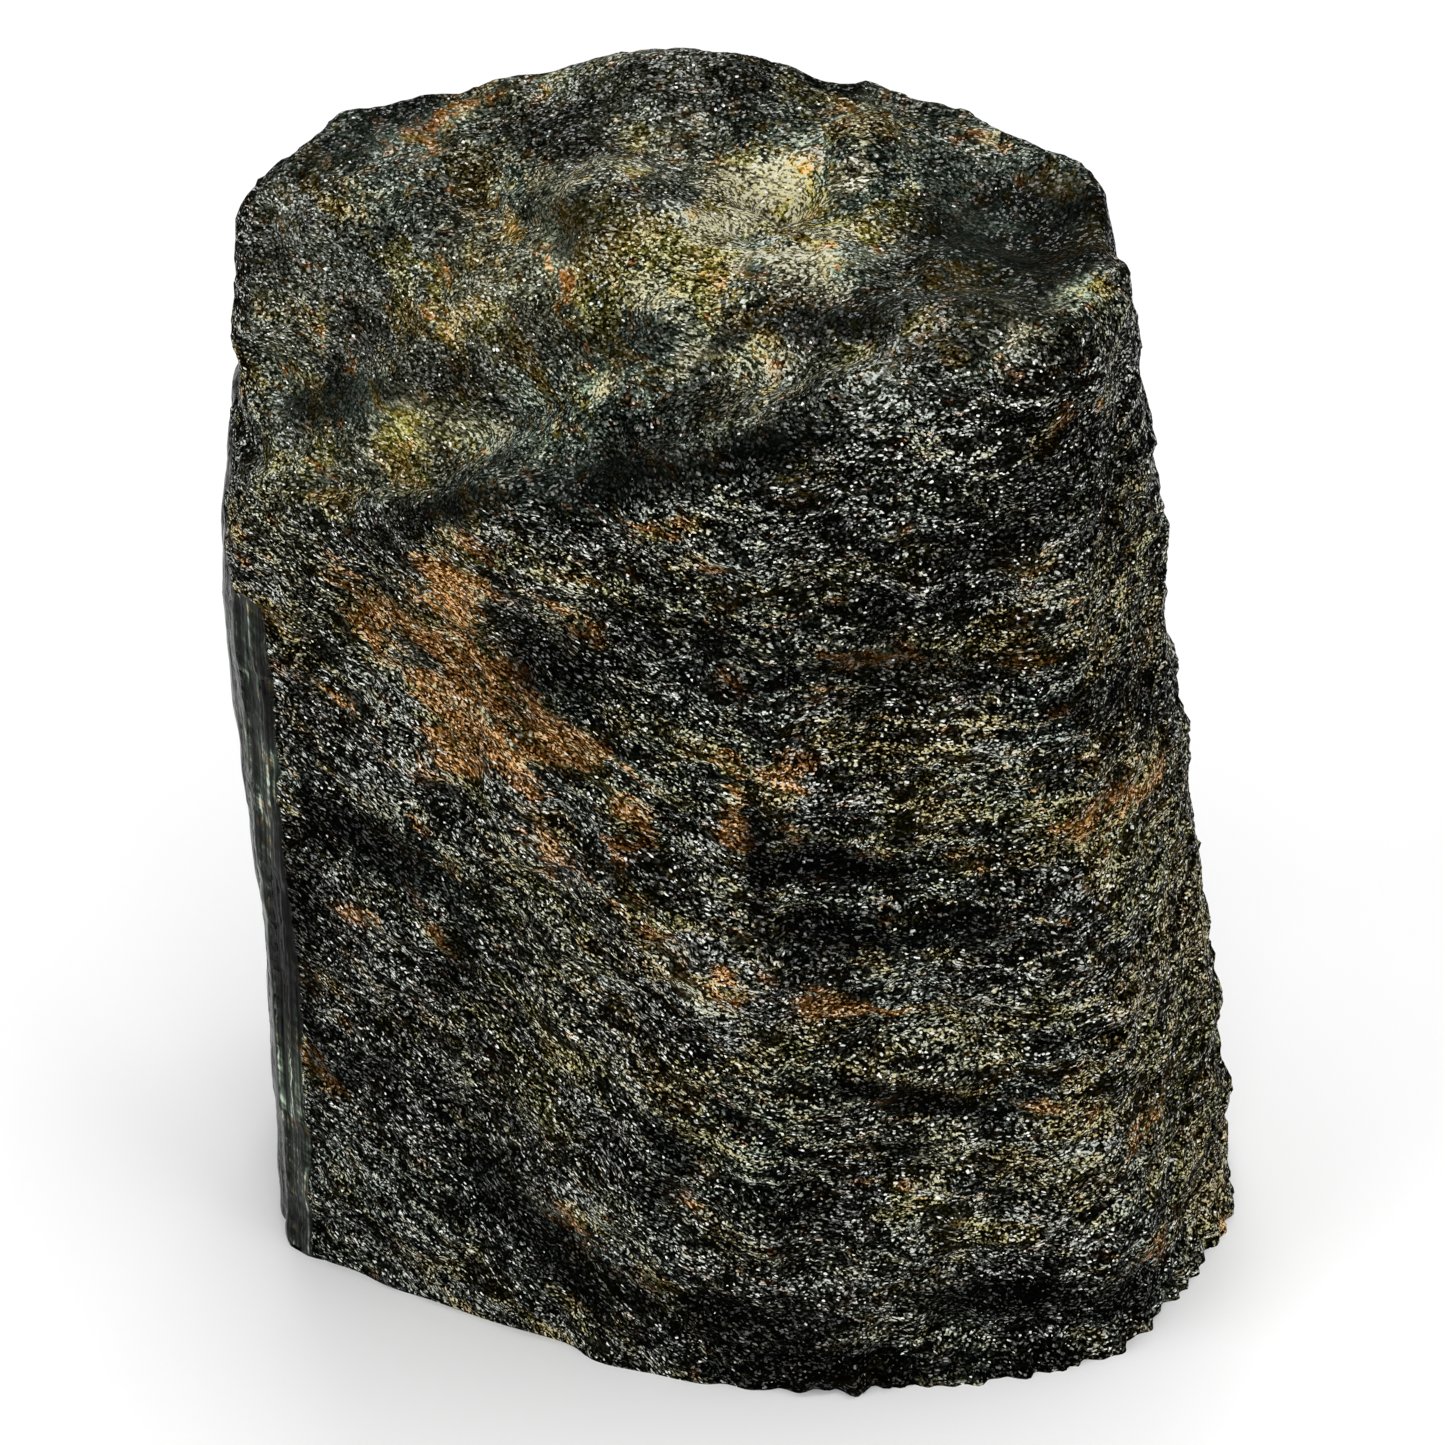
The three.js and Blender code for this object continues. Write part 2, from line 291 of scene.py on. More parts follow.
class PlacedPatch(NamedTuple):
    """A patch, placed as the photograph shows it: its middle across and down the picture in pixels, half its
    length and half its width, how many degrees its length falls to the right, and its strength."""

    across: float
    down: float
    long: float
    wide: float
    fall: float
    strength: float


RUST_STAINS = [
    PlacedPatch(480, 690, 180, 95, 50, 0.42),
    PlacedPatch(940, 470, 170, 110, -20, -0.3),
    PlacedPatch(400, 1150, 140, 110, 30, -0.25),
    PlacedPatch(900, 1290, 200, 60, 0, -0.3),
    PlacedPatch(1010, 270, 110, 80, 0, -0.4),
    PlacedPatch(452, 560, 52, 34, 80, 0.95),
    PlacedPatch(400, 625, 52, 26, 30, 1.0),
    PlacedPatch(455, 675, 62, 42, 50, 1.15),
    PlacedPatch(470, 748, 48, 26, 20, 0.95),
    PlacedPatch(560, 742, 52, 26, 15, 1.0),
    PlacedPatch(632, 828, 42, 26, 75, 1.1),
    PlacedPatch(530, 825, 44, 24, 60, 0.7),
    PlacedPatch(600, 890, 70, 30, 30, 0.45),
    PlacedPatch(735, 830, 64, 17, 85, 0.75),
    PlacedPatch(742, 978, 46, 26, -10, 1.15),
    PlacedPatch(830, 1010, 54, 22, 12, 0.8),
    PlacedPatch(438, 935, 52, 9, 58, 0.8),
    PlacedPatch(315, 1062, 34, 16, 50, 0.75),
    PlacedPatch(578, 1222, 42, 16, 45, 0.85),
    PlacedPatch(662, 1282, 36, 10, 30, 0.7),
    PlacedPatch(672, 528, 42, 14, -6, 1.25),
    PlacedPatch(322, 311, 54, 5, 88, 1.4),
    PlacedPatch(450, 112, 60, 15, -24, 0.8),
    PlacedPatch(434, 146, 26, 10, -60, 0.8),
    PlacedPatch(508, 218, 38, 11, 62, 1.1),
    PlacedPatch(552, 264, 34, 11, 38, 0.95),
    PlacedPatch(634, 160, 46, 10, 88, 0.65),
    PlacedPatch(896, 919, 34, 4, -3, 1.1),
    PlacedPatch(1053, 922, 34, 4, 2, 1.1),
    PlacedPatch(903, 1011, 32, 4, -4, 1.1),
    PlacedPatch(880, 662, 60, 8, 4, 1.0),
    PlacedPatch(1030, 662, 38, 9, -4, 0.9),
    PlacedPatch(1120, 800, 74, 30, -30, 0.65),
    PlacedPatch(1060, 765, 64, 18, -4, 0.5),
    PlacedPatch(1056, 430, 32, 8, -55, 0.95),
    PlacedPatch(1101, 402, 12, 7, 80, 0.9),
    PlacedPatch(730, 690, 40, 24, 80, 0.55),
    PlacedPatch(790, 800, 50, 20, 40, 0.4),
    PlacedPatch(700, 1150, 60, 26, 70, 0.4),
    PlacedPatch(805, 1325, 40, 14, 20, 0.45),
    PlacedPatch(1165, 1235, 34, 14, -60, 0.6),
    PlacedPatch(360, 915, 26, 14, 40, 0.5),
    PlacedPatch(700, 280, 60, 18, -25, 0.3),
    PlacedPatch(270, 640, 20, 90, 0, 0.35),
    PlacedPatch(960, 1100, 90, 26, 4, 0.35),
]
OCHRE_STAINS = [
    PlacedPatch(800, 225, 125, 80, -20, 0.5),
    PlacedPatch(430, 230, 110, 70, -50, 0.3),
    PlacedPatch(940, 470, 170, 100, -20, -0.35),
    PlacedPatch(420, 1150, 120, 90, 30, -0.3),
    PlacedPatch(900, 1290, 200, 50, 0, -0.25),
    PlacedPatch(1000, 365, 100, 34, -20, -0.4),
    PlacedPatch(738, 205, 50, 26, -20, 0.95),
    PlacedPatch(680, 245, 50, 20, -30, 0.6),
    PlacedPatch(779, 305, 34, 12, -20, 0.85),
    PlacedPatch(765, 347, 18, 14, -30, 1.4),
    PlacedPatch(595, 312, 40, 16, 70, 0.85),
    PlacedPatch(412, 432, 46, 24, 80, 0.5),
    PlacedPatch(415, 485, 16, 9, -20, 1.4),
    PlacedPatch(899, 215, 44, 24, -20, 0.75),
    PlacedPatch(590, 205, 60, 30, -20, 0.6),
    PlacedPatch(500, 330, 40, 20, 40, 0.4),
    PlacedPatch(1044, 440, 34, 9, -55, 0.8),
    PlacedPatch(1132, 506, 46, 12, 85, 1.0),
    PlacedPatch(1152, 630, 60, 12, 88, 0.65),
    PlacedPatch(1166, 770, 70, 18, 85, 0.65),
    PlacedPatch(1186, 910, 70, 18, 85, 0.65),
    PlacedPatch(1196, 1040, 70, 26, 85, 0.9),
    PlacedPatch(1200, 1145, 70, 26, 85, 1.0),
    PlacedPatch(1110, 1090, 80, 40, -10, 0.8),
    PlacedPatch(1050, 835, 120, 44, -5, 0.55),
    PlacedPatch(930, 820, 70, 22, 4, 0.5),
    PlacedPatch(945, 953, 26, 8, -4, 1.2),
    PlacedPatch(1047, 1022, 38, 4, -2, 1.2),
    PlacedPatch(900, 1060, 120, 50, 4, 0.4),
    PlacedPatch(1010, 1190, 120, 44, -4, 0.4),
    PlacedPatch(545, 1098, 56, 20, 60, 0.95),
    PlacedPatch(688, 560, 26, 7, -12, 1.2),
    PlacedPatch(690, 600, 66, 22, 10, 0.5),
    PlacedPatch(505, 870, 90, 36, 30, 0.4),
    PlacedPatch(655, 955, 66, 40, 30, 0.55),
    PlacedPatch(560, 570, 50, 24, 20, 0.5),
    PlacedPatch(940, 650, 50, 14, 4, 0.5),
    PlacedPatch(1010, 560, 80, 30, 10, 0.3),
    PlacedPatch(820, 930, 70, 22, 10, 0.45),
    PlacedPatch(730, 760, 60, 40, 40, 0.4),
    PlacedPatch(420, 1262, 44, 8, 20, 0.6),
    PlacedPatch(300, 700, 24, 80, 0, 0.4),
    PlacedPatch(700, 1060, 60, 60, 0, 0.35),
    PlacedPatch(870, 740, 80, 24, 2, 0.35),
    PlacedPatch(1145, 960, 250, 44, 82, 0.85),
    PlacedPatch(1120, 640, 110, 22, 82, 0.4),
]
CREAM_STAINS = [
    PlacedPatch(770, 225, 90, 55, -20, 0.35),
    PlacedPatch(715, 228, 36, 14, -14, 1.0),
    PlacedPatch(650, 292, 30, 26, 60, 0.9),
    PlacedPatch(694, 352, 32, 11, 8, 0.95),
    PlacedPatch(678, 372, 22, 8, -30, 0.95),
    PlacedPatch(845, 172, 36, 15, -10, 0.8),
    PlacedPatch(792, 262, 26, 18, -40, 0.6),
    PlacedPatch(567, 198, 38, 20, -20, 0.6),
    PlacedPatch(608, 385, 17, 11, -60, 1.2),
    PlacedPatch(756, 172, 50, 24, -15, 0.55),
    PlacedPatch(812, 250, 44, 30, -40, 0.35),
    PlacedPatch(690, 988, 20, 12, 0, 0.75),
    PlacedPatch(362, 677, 24, 16, -10, 0.6),
    PlacedPatch(350, 705, 24, 15, 30, 0.45),
    PlacedPatch(1134, 505, 30, 8, 85, 0.6),
    PlacedPatch(940, 652, 20, 8, 0, 0.6),
    PlacedPatch(280, 770, 24, 12, 80, 0.4),
    PlacedPatch(620, 262, 50, 24, 20, 0.4),
    PlacedPatch(540, 180, 44, 16, -20, 0.4),
]
OLIVE_STAINS = [
    PlacedPatch(428, 424, 56, 42, -30, 1.0),
    PlacedPatch(470, 290, 90, 42, 80, 0.7),
    PlacedPatch(650, 150, 90, 34, -10, 0.8),
    PlacedPatch(748, 180, 60, 34, -10, 0.6),
    PlacedPatch(545, 330, 60, 34, 30, 0.6),
    PlacedPatch(580, 240, 60, 40, 0, 0.4),
    PlacedPatch(780, 210, 60, 24, -20, 0.4),
    PlacedPatch(900, 240, 50, 34, -30, 0.35),
]
# Dark patches: the near-black growth faces at the left, and painted shade in the hollow and the troughs of
# the top, in slits, gaps and hollows of the front and along its foot, with a painted shadow line along a step
# at the left front.
DARK_AND_SHADE_PATCHES = [
    PlacedPatch(288, 925, 95, 15, 88, 1.1),
    PlacedPatch(310, 860, 260, 5, 89, 0.9),
    PlacedPatch(1008, 252, 84, 66, 0, 1.0),
    PlacedPatch(1072, 216, 46, 46, 0, 0.8),
    PlacedPatch(339, 400, 62, 24, -8, 0.9),
    PlacedPatch(459, 506, 72, 17, -18, 1.0),
    PlacedPatch(621, 480, 76, 27, -10, 1.0),
    PlacedPatch(764, 450, 76, 26, -14, 1.1),
    PlacedPatch(350, 140, 90, 24, -30, 0.5),
    PlacedPatch(560, 215, 40, 34, 0, 0.5),
    PlacedPatch(640, 345, 50, 34, -20, 0.35),
    PlacedPatch(752, 267, 18, 15, 0, 0.9),
    PlacedPatch(736, 335, 44, 10, -35, 0.8),
    PlacedPatch(568, 246, 16, 14, 0, 0.8),
    PlacedPatch(850, 318, 70, 22, -10, 0.5),
    PlacedPatch(381, 847, 88, 26, 32, 0.95),
    PlacedPatch(460, 950, 22, 36, 0, 0.7),
    PlacedPatch(555, 672, 62, 44, 40, 0.7),
    PlacedPatch(700, 640, 90, 34, 20, 0.45),
    PlacedPatch(905, 668, 110, 36, 6, 0.6),
    PlacedPatch(875, 607, 50, 20, 0, 0.4),
    PlacedPatch(834, 870, 84, 11, 2, 1.5),
    PlacedPatch(800, 858, 56, 26, 3, 0.6),
    PlacedPatch(958, 922, 66, 9, 4, 1.2),
    PlacedPatch(815, 930, 60, 26, 0, 0.6),
    PlacedPatch(757, 862, 84, 10, 86, 0.9),
    PlacedPatch(870, 938, 110, 8, 4, 0.8),
    PlacedPatch(850, 958, 70, 20, 4, 0.5),
    PlacedPatch(912, 1097, 92, 11, 9, 1.6),
    PlacedPatch(905, 1152, 52, 8, 8, 0.8),
    PlacedPatch(1000, 940, 50, 7, 4, 0.9),
    PlacedPatch(353, 1072, 50, 30, 20, 0.5),
    PlacedPatch(522, 1200, 120, 26, 52, 0.75),
    PlacedPatch(663, 1157, 30, 60, 0, 0.5),
    PlacedPatch(776, 1340, 100, 52, 10, 0.8),
    PlacedPatch(818, 1228, 60, 40, 0, 0.4),
    PlacedPatch(990, 1298, 110, 20, 0, 1.0),
    PlacedPatch(890, 1375, 200, 26, -4, 0.7),
    PlacedPatch(610, 1285, 90, 24, 20, 0.6),
    PlacedPatch(1130, 1290, 50, 26, -30, 0.6),
    PlacedPatch(1100, 700, 70, 22, -12, 0.7),
    PlacedPatch(1080, 480, 80, 60, 60, 0.35),
    PlacedPatch(960, 540, 90, 40, -10, 0.4),
]
# Pale patches: pale crusts and grains, chiefly on the top, and painted highlights and reflections, such as
# the thin line along the lower left edge, the light arc in the hollow of the top and the light edges of
# slits.
PALE_AND_HIGHLIGHT_PATCHES = [
    PlacedPatch(278, 768, 30, 18, 60, 1.0),
    PlacedPatch(511, 1316, 215, 6, 18.8, 0.8),
    PlacedPatch(748, 235, 150, 92, -12, 0.7),
    PlacedPatch(845, 195, 56, 50, 0, 0.5),
    PlacedPatch(691, 226, 34, 22, -10, 0.7),
    PlacedPatch(649, 287, 22, 30, 20, 0.7),
    PlacedPatch(790, 175, 60, 24, -10, 0.5),
    PlacedPatch(847, 198, 24, 30, 10, 0.5),
    PlacedPatch(600, 388, 16, 14, 0, 0.9),
    PlacedPatch(684, 360, 34, 16, 0, 0.6),
    PlacedPatch(409, 205, 22, 50, 25, 0.6),
    PlacedPatch(395, 445, 40, 50, 10, 0.35),
    PlacedPatch(480, 437, 60, 24, -10, 0.35),
    PlacedPatch(282, 545, 34, 34, 0, 0.7),
    PlacedPatch(353, 672, 34, 34, 20, 0.8),
    PlacedPatch(437, 593, 34, 40, 0, 0.4),
    PlacedPatch(607, 575, 80, 34, -6, 0.5),
    PlacedPatch(1045, 322, 90, 16, -38, 1.75),
    PlacedPatch(960, 400, 120, 40, -20, 0.5),
    PlacedPatch(1100, 330, 20, 50, 10, 0.4),
    PlacedPatch(875, 367, 50, 44, 0, 0.5),
    PlacedPatch(790, 480, 22, 14, -20, 0.8),
    PlacedPatch(960, 645, 66, 8, 2, 0.9),
    PlacedPatch(1000, 790, 66, 56, 0, 0.5),
    PlacedPatch(1115, 832, 40, 24, 0, 0.4),
    PlacedPatch(700, 972, 60, 40, 20, 0.75),
    PlacedPatch(409, 938, 30, 12, 10, 0.6),
    PlacedPatch(545, 1095, 50, 60, 40, 0.65),
    PlacedPatch(1072, 1037, 44, 50, 0, 0.35),
    PlacedPatch(980, 1215, 120, 26, 4, 0.55),
    PlacedPatch(1085, 1225, 12, 34, 70, 0.5),
    PlacedPatch(338, 1180, 50, 34, 30, 0.4),
    PlacedPatch(1000, 228, 30, 5, 4, 1.2),
    PlacedPatch(640, 80, 110, 18, -6, 0.4),
    PlacedPatch(320, 300, 100, 100, 0, 0.08),
    PlacedPatch(925, 850, 170, 150, 0, 0.06),
    PlacedPatch(500, 1235, 170, 80, 15, 0.07),
]

# Where the surface is less rough: the olive patches, and the first of the dark patches, which are the
# near-black left growth faces, and painted shade in the hollow of the top and in the troughs at its front.
CALM_DARK_PATCHES = 8
CALM_PLACES = OLIVE_STAINS + DARK_AND_SHADE_PATCHES[:CALM_DARK_PATCHES]

# Stains that are placed in the crystal itself, on the sides that the photograph doesn't show.
HIDDEN_RUST = [
    Lump((26.0, 16.0, 44.0), (6.0, 6.0, 7.0), 0.8),
    Lump((14.0, 21.0, 58.0), (9.0, 4.0, 5.0), 0.9),
    Lump((2.0, 22.0, 20.0), (5.0, 4.0, 9.0), 0.4),
    Lump((-29.0, 13.0, 12.0), (4.0, 5.0, 8.0), 0.5),
    Lump((29.0, 8.0, 10.0), (5.0, 7.0, 5.0), 0.6),
]
HIDDEN_OCHRE = [
    Lump((31.0, -2.0, 14.0), (5.0, 7.0, 12.0), 0.35),
    Lump((29.0, 8.0, 24.0), (5.0, 6.0, 12.0), 0.6),
    Lump((22.0, 18.0, 16.0), (7.0, 5.0, 8.0), 0.6),
    Lump((-20.0, 21.0, 40.0), (7.0, 4.0, 6.0), 0.4),
]
HIDDEN_CREAM = [
    Lump((24.0, 15.0, 30.0), (5.0, 6.0, 5.0), 0.5),
    Lump((-8.0, 23.0, 61.0), (7.0, 4.0, 3.0), 0.5),
]

# The seed of every random table, so that each run gives the same crystal.
SEED = 4127
TABLE_SIZE = 48


def mix(low, high, share):
    """Low where the share is 0, high where it is 1, and in proportion between them."""
    return low + (high - low) * share


def smooth_step(value):
    """0 up to 0, 1 from 1, and 3 s^2 - 2 s^3 between them."""
    share = np.clip(value, 0.0, 1.0)
    return share * share * (3.0 - 2.0 * share)


def random_table(channels, seed):
    """A cube of random numbers from 0 to 1, which repeats in every direction."""
    return np.random.default_rng(SEED + seed).random((TABLE_SIZE, TABLE_SIZE, TABLE_SIZE, channels))


def noise(points, size, seed):
    """Smooth noise from -1 to 1: random numbers at the points of a cubic grid of this size, run together
    between them by the smooth step of the place in the cell."""
    table = random_table(1, seed)[..., 0]
    place = points / size
    cell = np.floor(place).astype(int)
    share = smooth_step(place - cell)
    total = np.zeros(len(points))
    for corner in np.ndindex(2, 2, 2):
        index = (cell + corner) % TABLE_SIZE
        weight = np.prod(np.where(corner, share, 1.0 - share), axis=1)
        total += weight * table[index[:, 0], index[:, 1], index[:, 2]]
    return 2.0 * total - 1.0


def layered_noise(points, size, seed, layers=3):
    """Noise with finer noise on it, each layer half the size and half as strong as the one before."""
    total = np.zeros(len(points))
    for layer in range(layers):
        total += noise(points, size / 2**layer, seed + layer) / 2**layer
    return total


def waver(points, size, seed):
    """Three noises side by side, which bend the places that another noise is drawn on."""
    return np.column_stack([noise(points, size, seed + axis) for axis in range(3)])


def tilted_grains(points, grains):
    """The relief of broken grains: every point belongs to the nearest of scattered middles, one in each cell
    of a cubic grid, and each grain is a plane through its middle with a slope and a rise of its own."""
    table = random_table(7, grains.seed)
    place = points * grains.squeeze / grains.size
    home = np.floor(place).astype(int)
    nearest = np.full(len(points), np.inf)
    rise = np.zeros(len(points))
    for step in np.ndindex(3, 3, 3):
        cell = home + np.array(step) - 1
        index = cell % TABLE_SIZE
        values = table[index[:, 0], index[:, 1], index[:, 2]]
        offset = place - (cell + values[:, :3])
        distance = np.sum(offset**2, axis=1)
        slopes = 2.0 * values[:, 3:6] - 1.0
        plane = np.sum(offset * slopes, axis=1) + GRAIN_LIFT * (values[:, 6] - 0.5)
        closer = distance < nearest
        nearest = np.where(closer, distance, nearest)
        rise = np.where(closer, plane, rise)
    return rise * grains.size * grains.tilt


def bell(points, at, reach):
    """1 at the middle of a reach, falling to nothing like a bell."""
    return np.exp(-np.sum(((points - np.array(at)) / np.array(reach)) ** 2, axis=1))


def side_at(strip):
    """The number of the corner that a strip starts from, and the share of its side that it has gone."""
    left = np.mod(strip, SPANS)
    index = np.minimum(np.searchsorted(SIDE_ENDS, left, side="right"), len(CORNERS) - 1)
    return index, (left - (SIDE_ENDS - SIDE_SPANS)[index]) / SIDE_SPANS[index]


def sharp_outline(strip, height):
    """The outline with sharp corners: straight sides on the base and on the crown, and straight lines up."""
    index, share = side_at(strip)
    following = (index + 1) % len(CORNERS)
    base = mix(BASE_OUTLINE[index], BASE_OUTLINE[following], share[:, None])
    crown = mix(CROWN_OUTLINE[index], CROWN_OUTLINE[following], share[:, None])
    return mix(base, crown, (height / CROWN_HEIGHT)[:, None])


def outline(strip, height):
    """The outline with its corners worn round: the mean of the sharp outline's points to both sides."""
    index, share = side_at(strip)
    reach = mix(WEARS[index], WEARS[(index + 1) % len(CORNERS)], share)
    steps = range(-WEAR_STEPS, WEAR_STEPS + 1)
    beside = [sharp_outline(strip + reach * step / WEAR_STEPS, height) for step in steps]
    return np.mean(beside, axis=0)


def rim_radius(strip):
    """The radius that the top edge is worn to, in proportion between the corners."""
    index, share = side_at(strip)
    return mix(RIM_RADII[index], RIM_RADII[(index + 1) % len(CORNERS)], share)


def middle(height):
    """The middle of the section at each height."""
    return mix(np.array(MIDDLE_BASE), np.array(MIDDLE_CROWN), (height / CROWN_HEIGHT)[:, None])


def inset(points, distance, height):
    """Points moved towards the middle of their section by a distance."""
    centre = middle(height)
    length = np.hypot(*(points - centre).T)
    return mix(points, centre, (distance / length)[:, None])


def top_height(points):
    """The lower of the crown's and the shoulder's heights, run together over the blend."""
    heights = [part[0] + part[1] * points[:, 0] + part[2] * points[:, 1] for part in (CROWN, SHOULDER)]
    return -SHOULDER_BLEND * np.logaddexp(*(-height / SHOULDER_BLEND for height in heights))


def rim_height(strip):
    """The height of the top edge over a strip, settled in a few steps because the outline leans."""
    height = np.full(len(strip), CROWN[0])
    for _ in range(RIM_STEPS):
        height = top_height(inset(outline(strip, height), rim_radius(strip), height))
    return height


def wall_points(strip, row):
    """The wall: straight up from the base, then a quarter round over the worn top edge."""
    top = rim_height(strip)
    rim = rim_radius(strip)
    turn = np.maximum(row - WALL_ROWS, 0.0) / RIM_ROWS * math.pi / 2
    straight = (top - rim) * np.minimum(row / WALL_ROWS, 1.0)
    height = straight + rim * np.sin(turn)
    flat = inset(outline(strip, height), rim * (1.0 - np.cos(turn)), height)
    return np.column_stack([flat, height])


def strip_of(u, v):
    """The strip that a point on the edge of a cap's square belongs to, from its left front corner."""
    front_or_back = np.where(v < 0, (1 + u) / 2, 2 + (1 - u) / 2)
    right_or_left = np.where(u > 0, 1 + (1 + v) / 2, 3 + (1 - v) / 2)
    return np.where(np.abs(v) >= np.abs(u), front_or_back, right_or_left) * CAP_SPANS


def ring_and_strip(u, v):
    """The ring and the strip of a point inside a cap's square, which is first bent into a disc."""
    x = u * np.sqrt(1 - v * v / 2)
    y = v * np.sqrt(1 - u * u / 2)
    ring = np.maximum(np.hypot(x, y), LEAST_RING)
    return ring, strip_of(math.sqrt(2) * x / ring, math.sqrt(2) * y / ring)


def top_points(strip, ring):
    """The top: its edge shrunk by the ring towards the middle of the crown, at the height of the top."""
    edge = wall_points(strip, np.full(len(strip), float(ROWS)))[:, :2]
    flat = mix(np.array(MIDDLE_CROWN), edge, ring[:, None])
    return np.column_stack([flat, top_height(flat)])


def base_points(strip, ring):
    """The flat base: its edge, moved by the relief of the wall above it, shrunk by the ring to the middle."""
    edge = wall_points(strip, np.zeros(len(strip)))
    outward = edge / np.linalg.norm(edge, axis=1)[:, None]
    edge += outward * form_relief(edge, strip, np.zeros(len(strip)))[:, None]
    return edge * ring[:, None]


def growth_share(strip, row):
    """1 on the grooved growth faces, which end a little way past the left front corner, and 0 on the broken
    sides and over the top edge."""
    past_front = np.mod(strip - GROWTH_ON_FRONT, SPANS)
    past_break = smooth_step((past_front + GROWTH_ON_FRONT - GROWTH_FROM) / GROWTH_FADE)
    before_front = smooth_step((SPANS - past_front) / GROWTH_EDGE)
    below_rim = smooth_step((1.0 - row / WALL_ROWS) / RIM_FADE)
    return past_break * before_front * below_rim


def tooth_share(strip, height):
    """1 along the foot of the broken sides, fading out to both ends and upwards."""
    along = np.minimum(strip - TEETH_FROM, TEETH_TO - strip)
    return smooth_step(along / TEETH_FADE) * (1.0 - smooth_step(height / TEETH_HEIGHT))


def lump_rise(points, lumps, rise=0.0):
    """The rises of the lumps, each a bell over its reach, added to a rise."""
    for lump in lumps:
        rise = rise + lump.rise * bell(points, lump.at, lump.reach)
    return rise


def ledge_rise(points):
    """The rises of the ledges, each a smooth step past its plane times a bell over its reach."""
    rise = np.zeros(len(points))
    for ledge in LEDGES:
        past = smooth_step((points @ np.array(ledge.facing) - ledge.distance) / LEDGE_WIDTH + 0.5)
        rise += ledge.rise * past * bell(points, ledge.at, ledge.reach)
    return rise


def swell_rise(points):
    """A sum of sine waves, each bent by the one before it."""
    rise = np.zeros(len(points))
    wave = np.zeros(len(points))
    for swell in SWELLS:
        along = points @ np.array(swell.along)
        wave = np.sin(2 * math.pi * along / swell.length + swell.start + SWELL_BEND * wave)
        rise += swell.rise * wave
    return rise


def around(strip):
    """A circle for noise that has to meet itself after one turn round the crystal, one unit to each strip."""
    angle = 2 * math.pi * strip / SPANS
    radius = SPANS / (2 * math.pi)
    return np.column_stack([radius * np.cos(angle), radius * np.sin(angle), np.zeros(len(strip))])


def uneven_turn(strip, pitch):
    """How far a wave of uneven pitch has turned at a strip: pi for each half wave, shifted by a noise."""
    return math.pi * strip * pitch.halves + pitch.shift * noise(around(strip), *pitch.unevenness)


def rib_rise(strip):
    """Flat-topped ribs, w / sqrt(w^2 + roundness) of a sine wave w of uneven pitch, with finer grooves."""
    circle = around(strip)
    wave = np.sin(uneven_turn(strip, RIBS))
    ribs = wave / np.sqrt(wave * wave + RIB_ROUNDNESS)
    grooves = noise(circle, *GROOVES) + 0.6 * noise(circle, *WIDE_GROOVES)
    return RIB_RISE * ribs + GROOVE_RISE * grooves


def tooth_rise(strip):
    """Teeth: leaning peaks of uneven height, about three strips apart, with finer ones between them."""
    circle = around(strip)
    turn = uneven_turn(strip, TEETH)
    wave = np.sin(turn + TOOTH_LEAN * np.sin(turn)) * (1 + 0.6 * noise(circle, *TOOTH_HEIGHTS))
    fine = np.sin(uneven_turn(strip, FINE_TEETH))
    return TOOTH_RISE * (0.75 * wave + 0.35 * fine + 0.3 * noise(circle, *TOOTH_CHIPS))


def form_relief(points, strip, row):
    """How far the surface stands out from the plain prism, by the forms that the solid has too: ledges,
    swells, lumps, ribs on the growth faces and teeth along the foot."""
    growth = growth_share(strip, row)
    rise = ledge_rise(points) + swell_rise(points) * (1.0 - GROWTH_EVENNESS * growth)
    rise = lump_rise(points, LUMPS, rise)
    return rise + rib_rise(strip) * growth + tooth_rise(strip) * tooth_share(strip, points[:, 2])


def sheet_places(points):
    """The points in a frame whose third direction crosses the sheets. On the left, below the top, the sheets
    bend down to the right, by an even slope past a soft knee."""
    across = np.array(SHEET_FACING)
    first = np.cross(across, (0.0, 0.0, 1.0))
    first /= np.linalg.norm(first)
    second = np.cross(across, first)
    places = points @ np.column_stack([first, second, across])
    left = SHEET_KNEE * np.logaddexp(0.0, (SHEETS_BEND_AT - points[:, 0]) / SHEET_KNEE)
    below = smooth_step((SHEETS_BEND_BELOW - points[:, 2]) / SHEETS_BEND_FADE)
    places[:, 2] -= SHEET_BEND * left * below
    return places


def fine_relief(points, growth, calm):
    """The low relief that the solid doesn't have: rounded unevenness, the ragged edges of the sheets, which
    are the square root of a flat noise with its sign kept, tilted grains and dust."""
    sheets = sheet_places(points)
    bent = sheets + SHEET_WAVER * waver(points, *SHEET_WAVES)
    uneven = layered_noise(points, *UNEVENNESS)
    edges = layered_noise(bent / SHEET_SPREAD, *SHEET_EDGES, layers=2)
    terraces = np.sign(edges) * np.sqrt(np.abs(edges))
    grains = tilted_grains(bent, COARSE_GRAINS)
    grains += tilted_grains(bent, FINE_GRAINS)
    dust = noise(points, *DUST)
    rise = UNEVEN_RISE * uneven + SHEET_RISE * terraces * (1 - CALM_SHEETS * calm)
    rise += (grains + DUST_RISE * dust) * (1.0 - CALM_GRAINS * calm)
    rise *= 1.0 - CALM_TOP * smooth_step((points[:, 2] - CALM_FROM) / CALM_FADE)
    return rise * (1.0 - growth) + GROWTH_DUST_RISE * dust * growth


